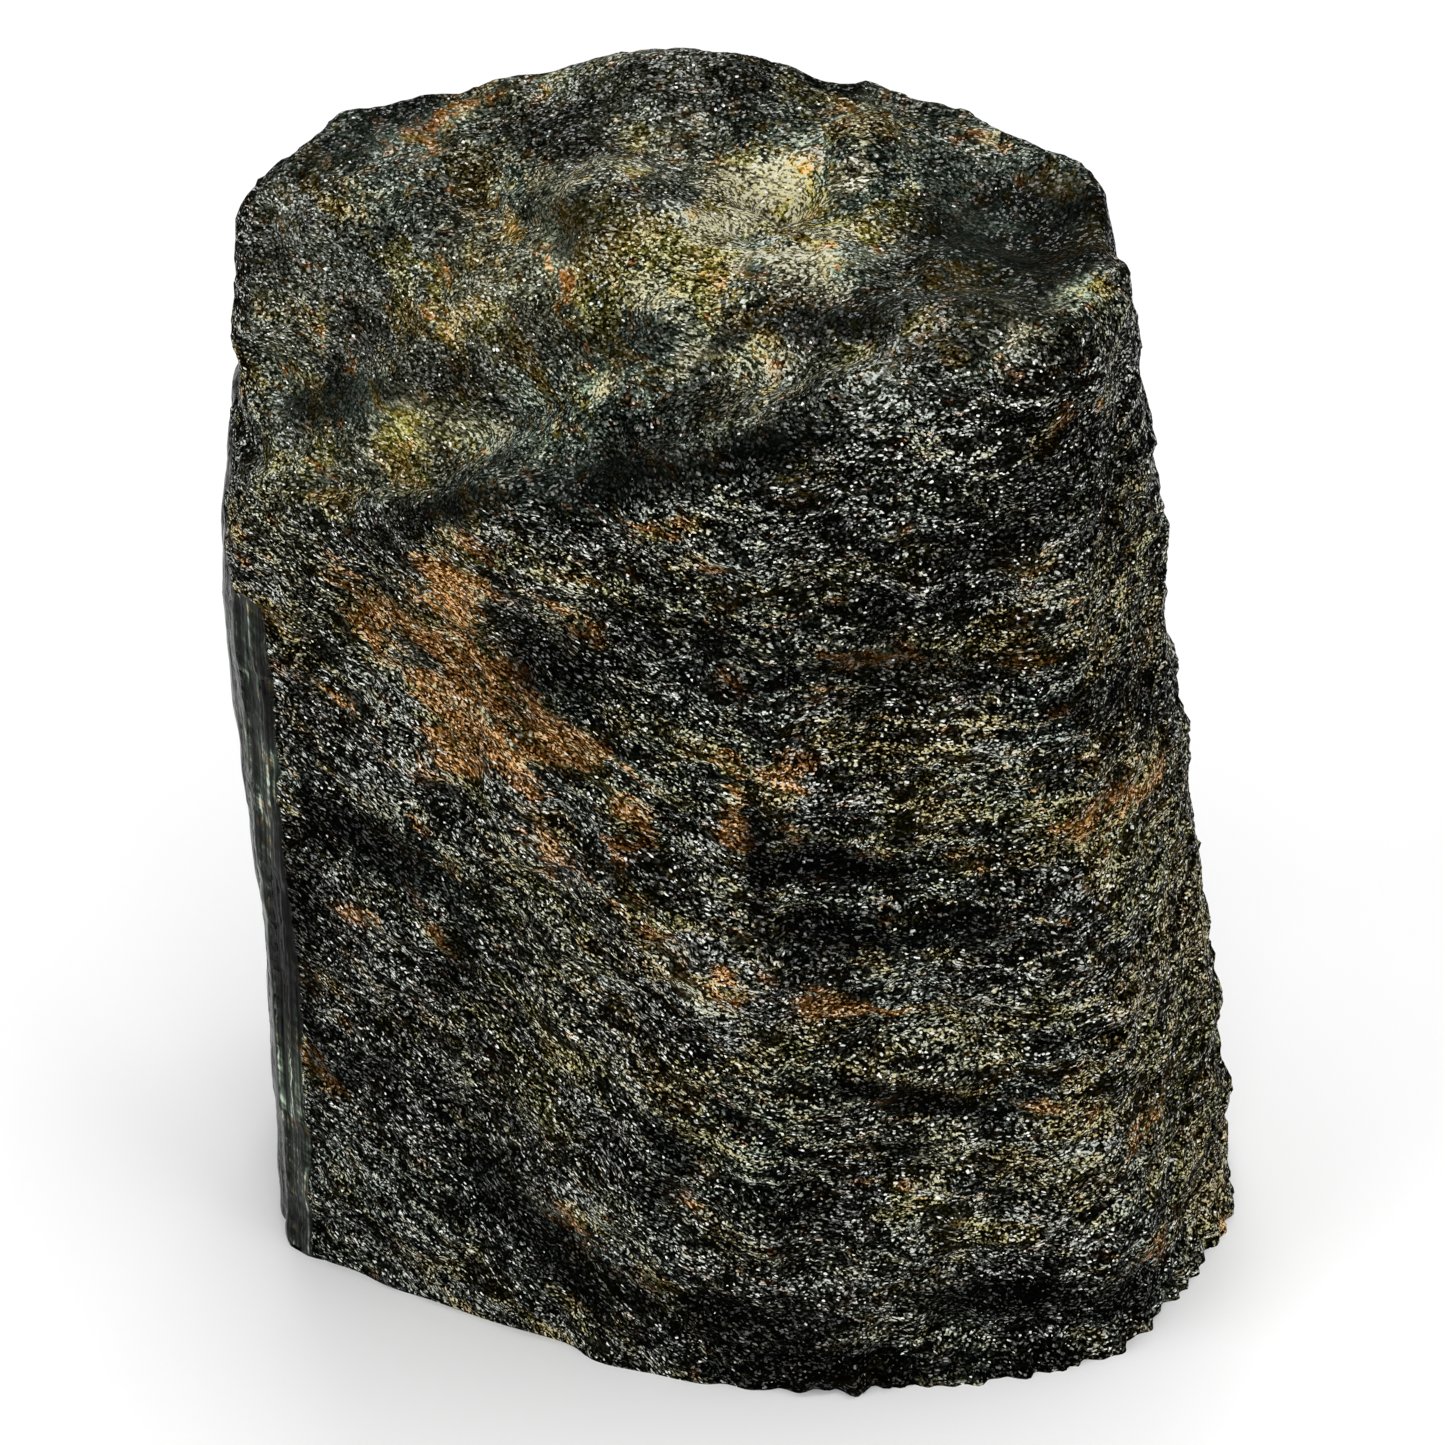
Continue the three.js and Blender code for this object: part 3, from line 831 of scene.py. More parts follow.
def surface_normals(points, faces):
    """The direction out of the surface at each point: the sum of the cross products of two sides of its
    triangles, made one long."""
    corners = points[faces]
    facing = np.cross(corners[:, 1] - corners[:, 0], corners[:, 2] - corners[:, 0])
    normals = np.zeros_like(points)
    for axis in range(3):
        weights = np.repeat(facing[:, axis], 3)
        normals[:, axis] = np.bincount(faces.ravel(), weights=weights, minlength=len(points))
    return normals / np.linalg.norm(normals, axis=1)[:, None]


def quads_to_triangles(quads, random):
    """Every four-cornered face cut along one of its diagonals, by chance."""
    turned = np.where(random.random(len(quads))[:, None] < 0.5, quads, np.roll(quads, 1, axis=1))
    return np.concatenate([turned[:, [0, 1, 2]], turned[:, [0, 2, 3]]])


def cap_indices(ring_start, inner_start):
    """The point numbers of a cap's square grid: its edge is the wall's ring, and its inside follows."""
    grid = np.zeros((CAP_COLUMNS + 1, CAP_COLUMNS + 1), int)
    side = np.arange(CAP_COLUMNS + 1)
    grid[0, :] = ring_start + side
    grid[:, -1] = ring_start + CAP_COLUMNS + side
    grid[-1, :] = ring_start + 3 * CAP_COLUMNS - side
    grid[:, 0] = ring_start + (4 * CAP_COLUMNS - side) % COLUMNS
    inner = (CAP_COLUMNS - 1) ** 2
    grid[1:-1, 1:-1] = inner_start + np.arange(inner).reshape(CAP_COLUMNS - 1, CAP_COLUMNS - 1)
    return grid


def grid_quads(grid):
    """The four-cornered faces between the neighbouring points of a grid of point numbers."""
    corners = (grid[:-1, :-1], grid[:-1, 1:], grid[1:, 1:], grid[1:, :-1])
    return np.column_stack([corner.ravel() for corner in corners])


class Surface(NamedTuple):
    """The crystal's surface: its points in millimetres, the triangles between them, each point's strip and
    row, whether it belongs to the flat base, and how far the fine relief raises it."""

    points: np.ndarray
    faces: np.ndarray
    strip: np.ndarray
    row: np.ndarray
    base: np.ndarray
    raised: np.ndarray


def strays(random, count):
    """Random distances to both sides of a grid point's place."""
    return STRAY * (2 * random.random(count) - 1)


def plain_surface():
    """The prism without its relief: a wall of columns and rows, and a square cap on its top and its base."""
    random = np.random.default_rng(SEED)
    row, column = [axis.ravel().astype(float) for axis in np.mgrid[0 : ROWS + 1, 0:COLUMNS]]
    column += strays(random, len(column))
    loose = (row > 0) & (row < ROWS) & (row != WALL_ROWS)
    row += strays(random, len(row)) * loose
    strip = column / FINENESS
    walls = wall_points(strip, row)
    step = np.arange(1, CAP_COLUMNS) * 2 / CAP_COLUMNS - 1
    v, u = [axis.ravel() for axis in np.meshgrid(step, step, indexing="ij")]
    u = u + strays(random, len(u)) * 2 / CAP_COLUMNS
    v = v + strays(random, len(v)) * 2 / CAP_COLUMNS
    ring, cap_strip = ring_and_strip(u, v)
    on_base = row == 0
    walls[on_base] = base_points(strip[on_base], np.ones(on_base.sum()))
    points = np.concatenate([walls, top_points(cap_strip, ring), base_points(cap_strip, ring)])
    wall = np.arange((ROWS + 1) * COLUMNS).reshape(ROWS + 1, COLUMNS)
    wall = np.column_stack([wall, wall[:, 0]])
    top = cap_indices(ROWS * COLUMNS, len(walls))
    base = cap_indices(0, len(walls) + len(u))
    quads = np.concatenate([grid_quads(wall), grid_quads(top), grid_quads(base)[:, ::-1]])
    faces = quads_to_triangles(quads, random)
    strips = np.concatenate([strip, cap_strip, cap_strip])
    rows = np.concatenate([row, np.full(len(u), float(ROWS)), np.zeros(len(u))])
    return Surface(points, faces, strips, rows, rows == 0, np.zeros(len(points)))


def moved_out(surface, rise):
    """The surface moved along its normals by a rise, its flat base apart, and fitted to the solid's box."""
    rise = rise * ~surface.base
    points = surface.points + surface_normals(surface.points, surface.faces) * rise[:, None]
    return surface._replace(points=fit_to_solid(points))


def crystal_surface():
    """The plain prism moved out and in, by the forms of the solid and then by its fine relief."""
    surface = plain_surface()
    surface = moved_out(surface, form_relief(surface.points, surface.strip, surface.row))
    growth = growth_share(surface.strip, surface.row)
    normals = surface_normals(surface.points, surface.faces)
    calm = np.clip(seen_patches(surface.points, normals, CALM_PLACES), 0, 1)
    rise = fine_relief(surface.points, growth, calm)
    return moved_out(surface, rise)._replace(raised=rise / np.std(rise))


def fit_to_solid(points):
    """The points moved and stretched, by a hair, so that their box is the solid's box."""
    low, high = (np.array(corner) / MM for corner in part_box(NODE))
    share = (points - points.min(axis=0)) / np.ptp(points, axis=0)
    return mix(low, high, share)


def photo_places(points):
    """Where the photograph shows each point, across and down in pixels: its distance to the right of the
    picture's middle and above it, over its distance from the camera along the line of sight."""
    toward = points - CAMERA_TARGET
    depth = CAMERA_DISTANCE - toward @ CAMERA_BACK
    up = toward @ CAMERA_UP
    scale = PHOTO_SIZE * CAMERA_DISTANCE / FIELD_WIDTH / depth
    return PHOTO_SIZE / 2 + scale * toward[:, 0], PHOTO_SIZE / 2 - scale * up


def seen_share(points, normals):
    """1 where the surface faces the photograph's camera, fading to 0 where it turns away."""
    toward = CAMERA_TARGET + CAMERA_DISTANCE * CAMERA_BACK - points
    toward /= np.linalg.norm(toward, axis=1)[:, None]
    return smooth_step(np.sum(toward * normals, axis=1) / SEEN_FADE + SEEN_PAST)


def seen_patches(points, normals, stains):
    """The sum of the patches that the photograph shows, stains and painted light and shade alike, each
    falling off with the cube of the distance from its middle, which is measured in its own half length and
    half width."""
    across, down = photo_places(points)
    total = np.zeros(len(points))
    for stain in stains:
        fall = math.radians(stain.fall)
        right = across - stain.across
        below = down - stain.down
        along = (right * math.cos(fall) + below * math.sin(fall)) / stain.long
        beside = (below * math.cos(fall) - right * math.sin(fall)) / stain.wide
        total += stain.strength * np.exp(-((along**2 + beside**2) ** 1.5))
    return total * seen_share(points, normals)


def sheeted_share(points):
    """How clearly the sheets show: half on the left, and fully on the right half of the front and beyond."""
    return 0.5 + 0.5 * smooth_step((points[:, 0] - SHEETED_FROM) / SHEETED_FADE)


class Tone(NamedTuple):
    """What a part, a stain or a patch of painted light or shade adds, where it is whole, to the logarithm of
    the crystal's brightness and to its gain, which is how strongly that logarithm follows the thickness of
    each grain."""

    level: float
    gain: float


PLAIN_TONE = Tone(-5.98, 15.4)
TONES = {
    "top": Tone(1.88, -7.2),
    "rust": Tone(2.4, -7.0),
    "ochre": Tone(0.3, 0.0),
    "cream": Tone(1.1, 0.0),
    # The pale patches: pale crusts, and painted highlights and reflections.
    "pale": Tone(1.4, 0.0),
    "olive": Tone(0.5, -2.0),
    # The dark patches: painted shade, and the near-black left growth faces; on the top they are lifted a
    # little.
    "dark": Tone(-1.6, -6.5),
    "dark top": Tone(0.45, 0.0),
    "clouds": Tone(1.0, 0.0),
    "sheeted side": Tone(-0.1, 0.0),
    "growth": Tone(0.1, -4.0),
    # The ribbed edge is lighter and more contrasty, as painted highlights and reflections along its grooves.
    "ribbed": Tone(0.45, 9.0),
}
LEAST_GAIN = 4.0

# The noises that the stains and the textures are uneven by, how far the places of the ragged edges and of the
# clouds are squeezed along the sheets and across them, and how strong a stain is on the growth faces.
RUST_EDGES = Noise(1.7, 87)
OCHRE_EDGES = Noise(2.2, 101)
CREAM_EDGES = Noise(1.6, 105)
DUST_EDGES = Noise(3.0, 109)
HIDDEN_RUST_SPOTS = Noise(9.0, 72)
HIDDEN_OCHRE_SPOTS = Noise(8.0, 76)
HIDDEN_CREAM_SPOTS = Noise(6.0, 80)
DRIFT = Noise(7.0, 71)
GREENNESS = Noise(9.0, 75)
PATCHES = Noise(3.0, 85)
CRACKS = Noise(6.0, 95)
GROWTH_EDGES = Noise(5.0, 113)
CLOUDS = Noise(2.4, 117)
LAYER_WAVES = Noise(2.2, 91)
LAYER_WAVER = 0.3
EDGE_SQUEEZE = (0.5, 0.5, 1.2)
EDGE_SHARPNESS = 0.85
EDGE_RAGGEDNESS = 0.8
SPOTS_FROM = 0.25
SPOTS_FADE = 0.9
CLOUD_SQUEEZE = (0.6, 0.6, 1.0)
GROWTH_STAIN = 0.3


def ragged(share, places, edges):
    """A stain's share with ragged edges and holes: a noise, drawn out along the sheets, is added to it, and a
    smooth step taken of the sum."""
    uneven = layered_noise(places * EDGE_SQUEEZE, *edges, layers=4)
    return smooth_step(0.5 + EDGE_SHARPNESS * (share - 0.5) + EDGE_RAGGEDNESS * uneven)


def hidden_spots(points, spots):
    """Stains strewn by chance: the peaks of a noise."""
    return smooth_step((layered_noise(points, *spots) - SPOTS_FROM) / SPOTS_FADE)


def surface_parts(surface):
    """How far each point belongs to the crystal's top, to its growth faces, whose edges are uneven, and to
    the ribbed edge of these at the left front corner."""
    growth = growth_share(surface.strip, surface.row)
    growth = growth + 1.4 * growth * (1.0 - growth) * layered_noise(surface.points, *GROWTH_EDGES)
    past_corner = np.mod(surface.strip + SPANS / 2, SPANS) - SPANS / 2
    ribbed = growth * smooth_step(1.0 - np.abs(past_corner) / RIBBED_REACH)
    top = smooth_step((surface.row - WALL_ROWS) / RIM_ROWS)
    return top, growth, ribbed


def stain_values(surface):
    """The strength of each stain, patch of painted shade or highlight, and texture at every point of the
    surface, by the name of its attribute. The brightness will be the exponential of level + gain * thickness
    of the grain."""
    points = surface.points
    normals = surface_normals(points, surface.faces)
    top, growth, ribbed = surface_parts(surface)
    broken = 1.0 - growth
    places = sheet_places(points)
    sheeted = sheeted_share(points)
    drift = layered_noise(points, *DRIFT)

    def stain(seen, hidden, spots, spot_strength):
        """A stain where the photograph shows it, and on the hidden side where it is placed or strewn."""
        strewn = hidden_spots(points, spots) * (1.0 - seen_share(points, normals))
        return seen_patches(points, normals, seen) + lump_rise(points, hidden) + spot_strength * strewn

    def patch(seen, least, most, uneven=0.0):
        """A soft patch where the photograph shows it, kept between two strengths."""
        return np.clip(seen_patches(points, normals, seen) + uneven, least, most)

    rust = stain(RUST_STAINS, HIDDEN_RUST, HIDDEN_RUST_SPOTS, 0.5)
    ochre = stain(OCHRE_STAINS, HIDDEN_OCHRE, HIDDEN_OCHRE_SPOTS, 0.5)
    cream = stain(CREAM_STAINS, HIDDEN_CREAM, HIDDEN_CREAM_SPOTS, 0.4)
    held = GROWTH_STAIN + (1.0 - GROWTH_STAIN) * broken
    ochre = 1.2 * ochre + 0.5 * np.clip(rust, 0, 1) + 0.1 - 0.04 * top
    ochre = ragged(ochre, places, OCHRE_EDGES) * held
    rust = ragged(1.3 * np.clip(rust, -0.3, 1) - 0.3, places, RUST_EDGES) * held * (1.0 - 0.45 * top)
    cream = ragged(1.4 * cream - 0.22, places, CREAM_EDGES) * broken
    olive = patch(OLIVE_STAINS, 0.0, 1.0)
    # The dark patches, mostly painted shade, and the near-black left growth faces.
    dark = patch(DARK_AND_SHADE_PATCHES, 0.0, 1.3)
    # The pale patches: pale crusts and grains, and painted highlights and reflections.
    pale = patch(PALE_AND_HIGHLIGHT_PATCHES, -0.5, 1.2, 0.25 * drift)
    clouds = layered_noise(places * CLOUD_SQUEEZE, *CLOUDS, layers=4) * (0.3 + 0.8 * top)
    shares = {
        "top": top,
        "rust": rust,
        "ochre": ochre,
        "cream": cream,
        "pale": pale,
        "olive": olive,
        "dark": dark,
        "dark top": dark * top,
        "clouds": clouds,
        "sheeted side": sheeted * (1.0 - top),
        "growth": growth,
        "ribbed": ribbed,
    }
    level = PLAIN_TONE.level + sum(tone.level * shares[name] for name, tone in TONES.items())
    gain = PLAIN_TONE.gain + sum(tone.gain * shares[name] for name, tone in TONES.items())
    return {
        "layers": places + LAYER_WAVER * waver(points, *LAYER_WAVES),
        "level": level,
        "gain": np.maximum(gain, LEAST_GAIN),
        "rust": rust,
        "ochre": ochre,
        "cream": cream,
        "olive": olive,
        "green": smooth_step(0.25 + 0.6 * layered_noise(points, *GREENNESS) + 0.3 * top + 0.6 * dark),
        "patches": 0.5 + 0.2 * layered_noise(points, *PATCHES, layers=4),
        "dusty": ragged(0.36 + 0.5 * drift + 0.4 * ochre * (1.0 - top), places, DUST_EDGES),
        "raised": surface.raised,
        "sheeted": sheeted,
        "cracked": sheeted * smooth_step(0.3 + 0.9 * layered_noise(points, *CRACKS)) * broken,
        "growth": growth,
        # Where white grains and painted glints may stand: fewer on the top, in the rust and in the dark
        # patches.
        "sugary": (1.0 - 0.5 * top) * np.clip(1.0 - 1.1 * dark, 0.15, 1.0) * (1.0 - 0.5 * rust),
        "sparks": (1.0 - 0.85 * top) * (1.0 - 0.9 * dark) * (1.0 - 0.6 * rust),
    }


def make_mesh(name, surface, values):
    """A mesh of the surface in metres, with each value as an attribute of its points. Its growth faces are
    shaded smooth and its broken faces flat."""
    mesh = bpy.data.meshes.new(name)
    mesh.vertices.add(len(surface.points))
    mesh.vertices.foreach_set("co", (surface.points * MM).ravel())
    mesh.loops.add(surface.faces.size)
    mesh.loops.foreach_set("vertex_index", surface.faces.ravel())
    mesh.polygons.add(len(surface.faces))
    mesh.polygons.foreach_set("loop_start", np.arange(0, surface.faces.size, 3))
    grown = values["growth"][surface.faces].mean(axis=1) > 0.5
    mesh.polygons.foreach_set("use_smooth", grown)
    mesh.update(calc_edges=True)
    for value_name, value in values.items():
        flat = value.ndim == 1
        attribute = mesh.attributes.new(value_name, "FLOAT" if flat else "FLOAT_VECTOR", "POINT")
        attribute.data.foreach_set("value" if flat else "vector", value.astype(np.float32).ravel())
    mesh.validate()
    return mesh


class Term:
    """A socket of a shader, or a sum or product of sockets, that Python's operators work on."""

    def __init__(self, shader, socket):
        self.shader = shader
        self.socket = socket

    def calculate(self, operation, *values):
        """The term of a Math node on these terms and numbers."""
        return self.shader.add("Math", {"operation": operation}, dict(enumerate(values)))

    def __add__(self, other):
        return self.calculate("ADD", self, other)

    def __radd__(self, other):
        return self.calculate("ADD", other, self)

    def __sub__(self, other):
        return self.calculate("SUBTRACT", self, other)

    def __rsub__(self, other):
        return self.calculate("SUBTRACT", other, self)

    def __mul__(self, other):
        return self.calculate("MULTIPLY", self, other)

    def __rmul__(self, other):
        return self.calculate("MULTIPLY", other, self)

    def clamped(self):
        """The term, held from 0 to 1."""
        return self.shader.add("Clamp", {}, {"Value": self})

    def size(self):
        """The term without its sign."""
        return self.calculate("ABSOLUTE", self)

    def exponential(self):
        """e to the power of the term."""
        return self.calculate("EXPONENT", self)

    def at_most(self, most):
        """The term where it is below the most, and the most elsewhere."""
        return self.calculate("MINIMUM", self, most)

    def step(self, start, end):
        """0 before the start and 1 past the end, with a smooth step between them."""
        settings = {"interpolation_type": "SMOOTHSTEP"}
        return self.shader.add("MapRange", settings, {"Value": self, "From Min": start, "From Max": end})


class Shader:
    """A material whose nodes are made by Python expressions."""

    def __init__(self, name):
        self.material = bpy.data.materials.new(name)
        self.material.use_nodes = True
        self.tree = self.material.node_tree
        self.tree.nodes.clear()

    def make(self, kind, settings, sockets):
        """A new node of this kind, with its settings set first, then its sockets by number or by name."""
        node = self.tree.nodes.new("ShaderNode" + kind)
        for name, value in settings.items():
            setattr(node, name, value)
        for key, value in sockets.items():
            shown = [socket for socket in node.inputs if socket.enabled]
            socket = shown[key] if isinstance(key, int) else next(s for s in shown if s.name == key)
            if isinstance(value, Term):
                self.tree.links.new(value.socket, socket)
            else:
                socket.default_value = value
        return node

    def add(self, kind, settings, sockets, output=None):
        """A new node, as the term of its output of this name, or of the first one that is in use."""
        node = self.make(kind, settings, sockets)
        shown = [socket for socket in node.outputs if socket.enabled]
        return Term(self, shown[0] if output is None else next(s for s in shown if s.name == output))

    def attribute(self, name, output="Fac"):
        """A value of the mesh."""
        return self.add("Attribute", {"attribute_name": name}, {}, output)

    def noise(self, place, scale, detail, roughness, output="Fac"):
        """Smooth noise from 0 to 1 at a place, this many waves to its unit, with finer noise on it."""
        sockets = {"Vector": place, "Scale": scale, "Detail": detail, "Roughness": roughness}
        return self.add("TexNoise", {}, sockets, output)

    def cells(self, place, scale):
        """Cells of uneven shape, this many to the place's unit: each one's own colour, the same all over the
        cell, and the distance from its middle."""
        node = self.make("TexVoronoi", {}, {"Vector": place, "Scale": scale})
        return Term(self, node.outputs["Color"]), Term(self, node.outputs["Distance"])

    def blend(self, share, low, high):
        """The low colour where the share is 0, the high one where it is 1, and a mix of them between."""
        return self.add("Mix", {"data_type": "RGBA"}, {"Factor": share, "A": low, "B": high})

    def vector(self, operation, sockets):
        """The term of a VectorMath node on these sockets' values."""
        return self.add("VectorMath", {"operation": operation}, sockets)

    def channels(self, colour):
        """The three channels of a colour. Those of a noise or of cells are three independent values."""
        node = self.make("SeparateColor", {}, {"Color": colour})
        return [Term(self, socket) for socket in node.outputs]

    def finish(self, surface):
        """The material, with its surface joined to its output."""
        output = self.make("OutputMaterial", {}, {})
        self.tree.links.new(surface, output.inputs["Surface"])
        return self.material


def colour(red, green, blue):
    """An opaque colour."""
    return (red, green, blue, 1.0)


# The colours of the crystal, as a camera with no light of its own colour sees them. A tint multiplies the
# brightness.
# WHITE is the colour of the white grains and of the painted glints.
WHITE = colour(0.800, 0.810, 0.760)
DULL_TINT = colour(1.00, 1.04, 0.36)
GREY_TINT = colour(0.97, 1.01, 0.92)
DUST_TINT = colour(1.02, 1.02, 0.71)
GREEN_TINT = colour(0.74, 1.06, 0.74)
OLIVE_TINT = colour(1.10, 1.03, 0.50)
RUST_TINT = colour(2.05, 0.80, 0.10)
OCHRE_TINT = colour(1.44, 0.96, 0.14)
YELLOW_TINT = colour(1.14, 1.04, 0.16)
CREAM_TINT = colour(1.12, 1.02, 0.55)

# How far the textures' places are squeezed, twice along the sheets and once across them, so that the textures
# are drawn out along the sheets; and along X, Y and Z for the grooves that run up the crystal.
GRAIN_SQUEEZE = (0.75, 0.75, 1.2)
DRAWN_SQUEEZE = (0.55, 0.55, 1.7)
STREAK_SQUEEZE = (0.14, 0.14, 1.6)
GROOVE_SQUEEZE = (0.6, 0.6, 0.01)

# How many cells or waves of each texture go to a millimetre of its squeezed places.
GRAIN_SCALE = 8.0
FLECK_SCALE = 5.4
STROKE_SCALE = 3.4
CLUMP_SCALE = 1.0
STREAK_SCALE = 1.0
BLOCK_SCALE = 0.85

# How much each texture adds to the thickness of a grain, and so to its brightness, with the rise of the fine
# relief added as painted light on raised points and painted shade on sunken ones, and the slits darkened as
# painted shade; and how much a calm block takes from the grains' differences and from its own brightness.
GRAIN_WEIGHT = 0.66
FLECK_WEIGHT = 0.8
CLUMP_WEIGHT = 0.24
STREAK_WEIGHT = 0.55
PATCH_WEIGHT = 0.12
RELIEF_SHADE_WEIGHT = 0.02
BLOCK_WEIGHT = 0.09
SLIT_SHADE = 0.28
CALM_BLOCKS_FROM = 0.74
CALM_EVENNESS = 0.6
CALM_DEPTH = 0.04

# The brightness that the darkest and the lightest grains have, but for the white ones.
BLACK = 0.0004
LIGHTEST = 0.5

# The finish of the broken faces, which shine only where a grain glints, and that of the glossy growth faces:
# their indices of refraction, their roughness, and how far the facing of their grains and ripples is tilted.
BROKEN_INDEX = 1.03
GLINT_ROUGHNESS = 0.16
GRAIN_SLOPE = 0.75
GROWN_INDEX = 1.17
GROWN_ROUGHNESS = 0.18
RIPPLE_SLOPE = 1.8

# The values that the mesh has at its points, apart from the places along the sheets' layers.
POINT_VALUES = (
    *("level", "gain", "growth", "raised", "patches", "sheeted", "cracked"),
    *("rust", "ochre", "cream", "olive", "green", "dusty", "sparks", "sugary"),
)


def tilted_facing(shader, tone, strength):
    """The direction that the surface faces, tilted by a colour's distance from middle grey."""
    slopes = shader.vector("SUBTRACT", {0: tone, 1: (0.5, 0.5, 0.5)})
    slopes = shader.vector("SCALE", {0: slopes, "Scale": strength})
    facing = shader.add("NewGeometry", {}, {}, "Normal")
    return shader.vector("NORMALIZE", {0: shader.vector("ADD", {0: facing, 1: slopes})})


def crystal_textures(shader):
    """The values of the mesh by their names, and the textures that are drawn on the crystal: grains, each
    with a tone and two random shares of its own; clumps of grains, with two random shares that drift from
    clump to clump; streaks along the sheets, with slits that are darkened as painted shade in the cracks and
    stained lines where a streak passes a value; and flecks, which are grooves on the growth faces."""
    look = SimpleNamespace(**{name: shader.attribute(name) for name in POINT_VALUES})
    along = shader.attribute("layers", "Vector")
    flat = shader.vector("MULTIPLY", {0: along, 1: GRAIN_SQUEEZE})
    look.drawn = shader.vector("MULTIPLY", {0: along, 1: DRAWN_SQUEEZE})
    long = shader.vector("MULTIPLY", {0: along, 1: STREAK_SQUEEZE})
    place = shader.add("TexCoord", {}, {}, "Object")
    rods = shader.vector("MULTIPLY", {0: place, 1: [share / MM for share in GROOVE_SQUEEZE]})

    look.tone, _ = shader.cells(flat, GRAIN_SCALE)
    look.first, look.second, _ = shader.channels(look.tone)
    clumps = shader.noise(look.drawn, CLUMP_SCALE, detail=2.0, roughness=0.65, output="Color")
    clumps, look.ruddy, look.yellowish = shader.channels(clumps)
    look.clumps = clumps - 0.5
    look.growth = (look.growth + 0.8 * look.clumps).step(0.45, 0.55)
    look.broken = 1.0 - look.growth
    look.streaks = (shader.noise(long, STREAK_SCALE, detail=3.0, roughness=0.7) - 0.5) * look.sheeted
    # The slits, where painted shade darkens the cracks.
    look.slits = (1.0 - look.streaks.size().step(0.004, 0.03)) * look.cracked
    look.lines = (1.0 - (look.streaks - 0.06).size().step(0.004, 0.024)) * look.sheeted
    bent = shader.add("Mix", {"data_type": "VECTOR"}, {"Factor": look.growth, "A": flat, "B": rods})
    look.ripples = shader.noise(bent, FLECK_SCALE, detail=1.0, roughness=0.9, output="Color")
    look.flecks = shader.channels(look.ripples)[0] - 0.5
    return look


def grain_thickness(shader, look):
    """How thick each grain is, and so how bright, about 0: a weighted sum of the textures, with painted light
    on raised and painted shade on sunken points of the relief. Where the grains differ much, about a quarter
    of the larger blocks are calm and a little darker. The slits are darkened as painted shade."""
    grains = (look.first - 0.5) * look.broken
    thick = GRAIN_WEIGHT * grains + FLECK_WEIGHT * look.flecks + CLUMP_WEIGHT * look.clumps
    thick = thick + STREAK_WEIGHT * look.streaks + PATCH_WEIGHT * (look.patches - 0.5)
    # Painted light and shade: raised points of the relief lighter, sunken ones darker.
    thick = thick + RELIEF_SHADE_WEIGHT * look.raised
    blocks, chosen, _ = shader.channels(shader.cells(look.drawn, BLOCK_SCALE)[0])
    thick = thick + BLOCK_WEIGHT * (blocks - 0.5) * look.broken
    calm = (chosen - CALM_BLOCKS_FROM).step(0.0, 0.06) * (0.1 * (look.gain - 5.4)).clamped() * look.broken
    return thick * (1.0 - CALM_EVENNESS * calm) - CALM_DEPTH * calm + 0.01 - SLIT_SHADE * look.slits


def grain_tint(shader, look, thick, rusty):
    """The colour that each grain is stained: dull where it is thin and grey or dusty where it is thick, green
    in places, and olive, ochre or yellow, rust and cream over that. The brightest grains stay the palest."""
    yellow = (look.ochre + 3.5 * (look.yellowish - 0.51) + 0.4 * look.lines).step(0.3, 0.8)
    creamy = (look.cream + 1.6 * look.clumps).step(0.3, 0.9)
    dusty = (look.dusty + 0.5 * look.rust + 0.3 * look.ochre + 1.6 * (look.yellowish - 0.5)).step(0.25, 0.95)
    pale = shader.blend(dusty * look.broken, GREY_TINT, DUST_TINT)
    tint = shader.blend(thick.step(-0.15, 0.2), DULL_TINT, pale)
    tint = shader.blend((look.green + look.growth).clamped(), tint, GREEN_TINT)
    tint = shader.blend(look.olive, tint, OLIVE_TINT)
    tint = shader.blend(yellow, tint, shader.blend(look.patches.step(0.4, 0.6), YELLOW_TINT, OCHRE_TINT))
    tint = shader.blend(rusty, tint, RUST_TINT)
    tint = shader.blend(creamy, tint, CREAM_TINT)
    return shader.blend((0.72 - 0.12 * rusty) * thick.step(-0.02, 0.34), tint, pale)


def white_grains_and_glints(shader, look):
    """Where a grain is white, partly as white grains and partly as painted glints: short strokes along the
    sheets, at the middles of some of the cells there, and single grains of sugar in the clumps."""
    strokes, distance = shader.cells(look.drawn, STROKE_SCALE)
    chosen, keen, _ = shader.channels(strokes)
    spot = (0.36 - distance).step(0.0, 0.08) * (0.25 + 0.75 * keen)
    spot = spot * (chosen + 1.1 * look.clumps + 0.5 * look.streaks).step(0.86, 0.92)
    sugar = (look.second + 0.034 * look.sugary * look.clumps.step(-0.07, 0.05) - 1.0).step(0.0, 0.006)
    return (spot * look.sparks + sugar).clamped() * look.broken


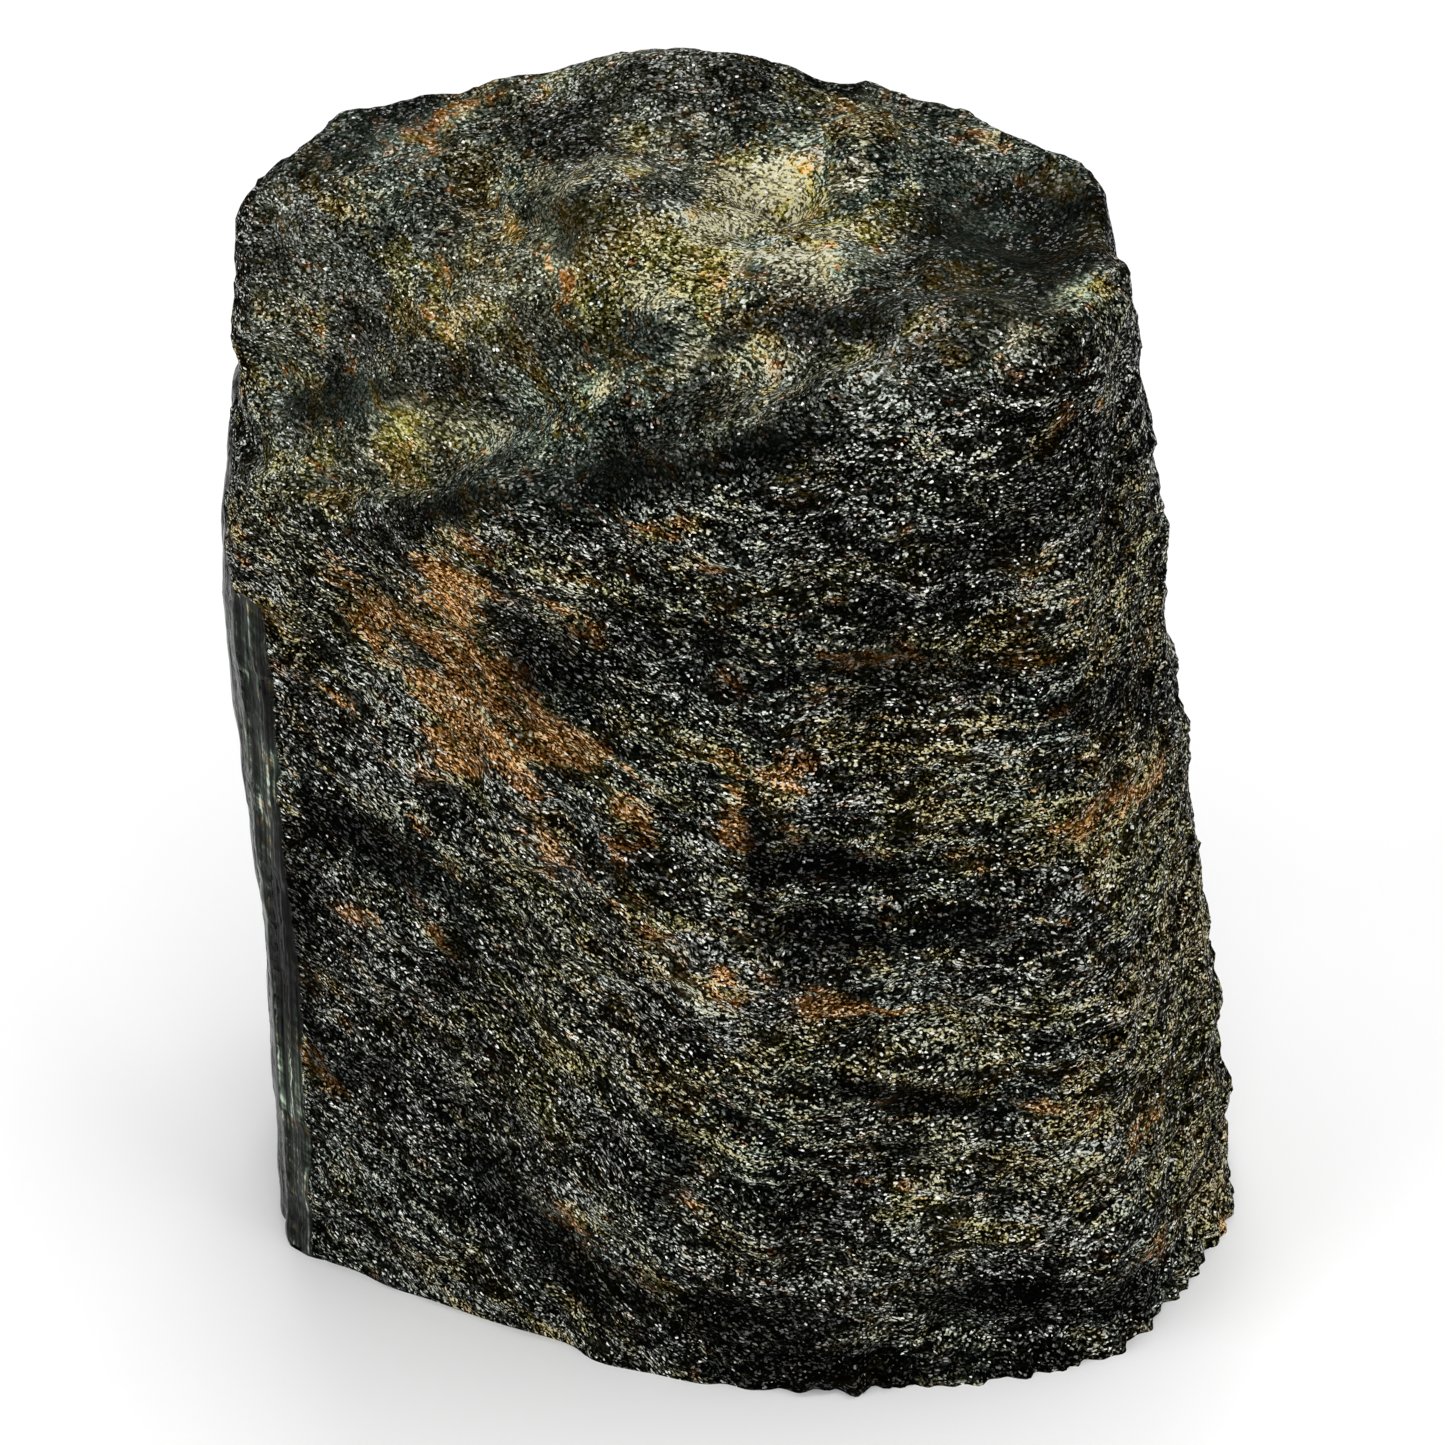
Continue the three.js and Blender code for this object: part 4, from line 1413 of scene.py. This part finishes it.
def tourmaline_material():
    """Near-black green crystal. Its broken faces are a sugar of small grey and white grains, each with a
    slope, a tone and a stain of its own, some of them glinting, and the white strokes and specks are partly
    painted glints. Its growth faces are glossy and finely grooved."""
    shader = Shader("rough_green_tourmaline")
    look = crystal_textures(shader)
    thick = grain_thickness(shader, look)
    light = ((look.level + look.gain * thick).exponential() + BLACK).at_most(LIGHTEST)
    rusty = (0.8 * look.rust + 2.8 * (look.ruddy - 0.5) + 0.2 * look.lines).step(0.2, 0.8)
    base = shader.vector("SCALE", {0: grain_tint(shader, look, thick, rusty), "Scale": light})
    # White grains and painted glints over the tinted grains.
    base = shader.blend(white_grains_and_glints(shader, look), base, WHITE)
    broken = {
        "Base Color": base,
        "Roughness": (0.35 + 0.35 * look.second + 0.25 * rusty).clamped(),
        "IOR": BROKEN_INDEX,
        "Coat Weight": (look.first - 0.86).step(0.0, 0.02),
        "Coat Roughness": GLINT_ROUGHNESS,
        "Normal": tilted_facing(shader, look.tone, GRAIN_SLOPE * (1.0 - 0.6 * look.olive)),
    }
    grown = {
        "Base Color": base,
        "Roughness": GROWN_ROUGHNESS,
        "IOR": GROWN_INDEX,
        "Normal": tilted_facing(shader, look.ripples, RIPPLE_SLOPE),
    }
    first, second = (shader.add("BsdfPrincipled", {}, finish) for finish in (broken, grown))
    return shader.finish(shader.add("MixShader", {}, {0: look.growth, 1: first, 2: second}).socket)


def plain_material(name, tint, roughness):
    """One plain colour and roughness."""
    shader = Shader(name)
    surface = shader.add("BsdfPrincipled", {}, {"Base Color": tint, "Roughness": roughness})
    return shader.finish(surface.socket)


def add_object(name, data):
    """An object in the scene, at the origin, unturned and unscaled."""
    thing = bpy.data.objects.new(name, data)
    bpy.context.scene.collection.objects.link(thing)
    return thing


def make_crystal():
    """The whole crystal, in one piece."""
    surface = crystal_surface()
    mesh = make_mesh("tourmaline_surface", surface, stain_values(surface))
    mesh.materials.append(tourmaline_material())
    crystal = add_object("tourmaline_surface", mesh)
    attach(crystal, "root")
    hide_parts(NODE)


FLOOR_REACH = 3.0
FLOOR_COLOUR = colour(0.86, 0.86, 0.86)
FLOOR_ROUGHNESS = 0.6


def make_floor():
    """A plain square floor under the crystal."""
    mesh = bpy.data.meshes.new("floor")
    corners = [(x * FLOOR_REACH, y * FLOOR_REACH, 0) for x, y in ((-1, -1), (1, -1), (1, 1), (-1, 1))]
    mesh.from_pydata(corners, [], [(0, 1, 2, 3)])
    mesh.materials.append(plain_material("pale_floor", FLOOR_COLOUR, FLOOR_ROUGHNESS))
    floor = add_object("floor", mesh)


class Softbox(NamedTuple):
    """A square studio light: where it stands in metres, its side and its power in watts."""

    at: tuple
    side: float
    power: float


SOFTBOXES = {
    "overhead": Softbox((0.05, 0.10, 0.75), 0.60, 4.0),
    "left": Softbox((-0.60, -0.35, 0.45), 0.50, 2.4),
    "right": Softbox((0.60, -0.45, 0.40), 0.50, 1.8),
    "front": Softbox((0.05, -0.75, 0.30), 0.45, 3.0),
    "back": Softbox((0.0, 0.70, 0.45), 0.50, 1.5),
}
LIGHTS_AIM = Vector((0.0, 0.0, 0.035))
ROOM_LIGHT = 0.2


def make_lights():
    """The softboxes, aimed at the middle of the crystal, in an evenly lit white room."""
    for name, softbox in SOFTBOXES.items():
        light = bpy.data.lights.new(name, "AREA")
        light.shape = "SQUARE"
        light.size = softbox.side
        light.energy = softbox.power
        lamp = add_object(name, light)
        lamp.location = softbox.at
        lamp.rotation_euler = (LIGHTS_AIM - lamp.location).to_track_quat("-Z", "Y").to_euler()
    world = bpy.data.worlds.new("studio")
    bpy.context.scene.world = world
    world.use_nodes = True
    room = world.node_tree.nodes["Background"]
    room.inputs["Color"].default_value = colour(1.0, 1.0, 1.0)
    room.inputs["Strength"].default_value = ROOM_LIGHT


def make_camera():
    """The photograph's camera, looking down at the crystal from the front."""
    data = bpy.data.cameras.new("camera")
    data.sensor_width = SENSOR_WIDTH
    data.lens = SENSOR_WIDTH * CAMERA_DISTANCE / FIELD_WIDTH
    camera = add_object("camera", data)
    camera.location = (CAMERA_TARGET + CAMERA_DISTANCE * CAMERA_BACK) * MM
    camera.rotation_euler = (math.pi / 2 - CAMERA_FALL, 0, 0)
    bpy.context.scene.camera = camera


make_crystal()
make_floor()
make_lights()
make_camera()
bpy.context.scene.view_settings.view_transform = "Standard"
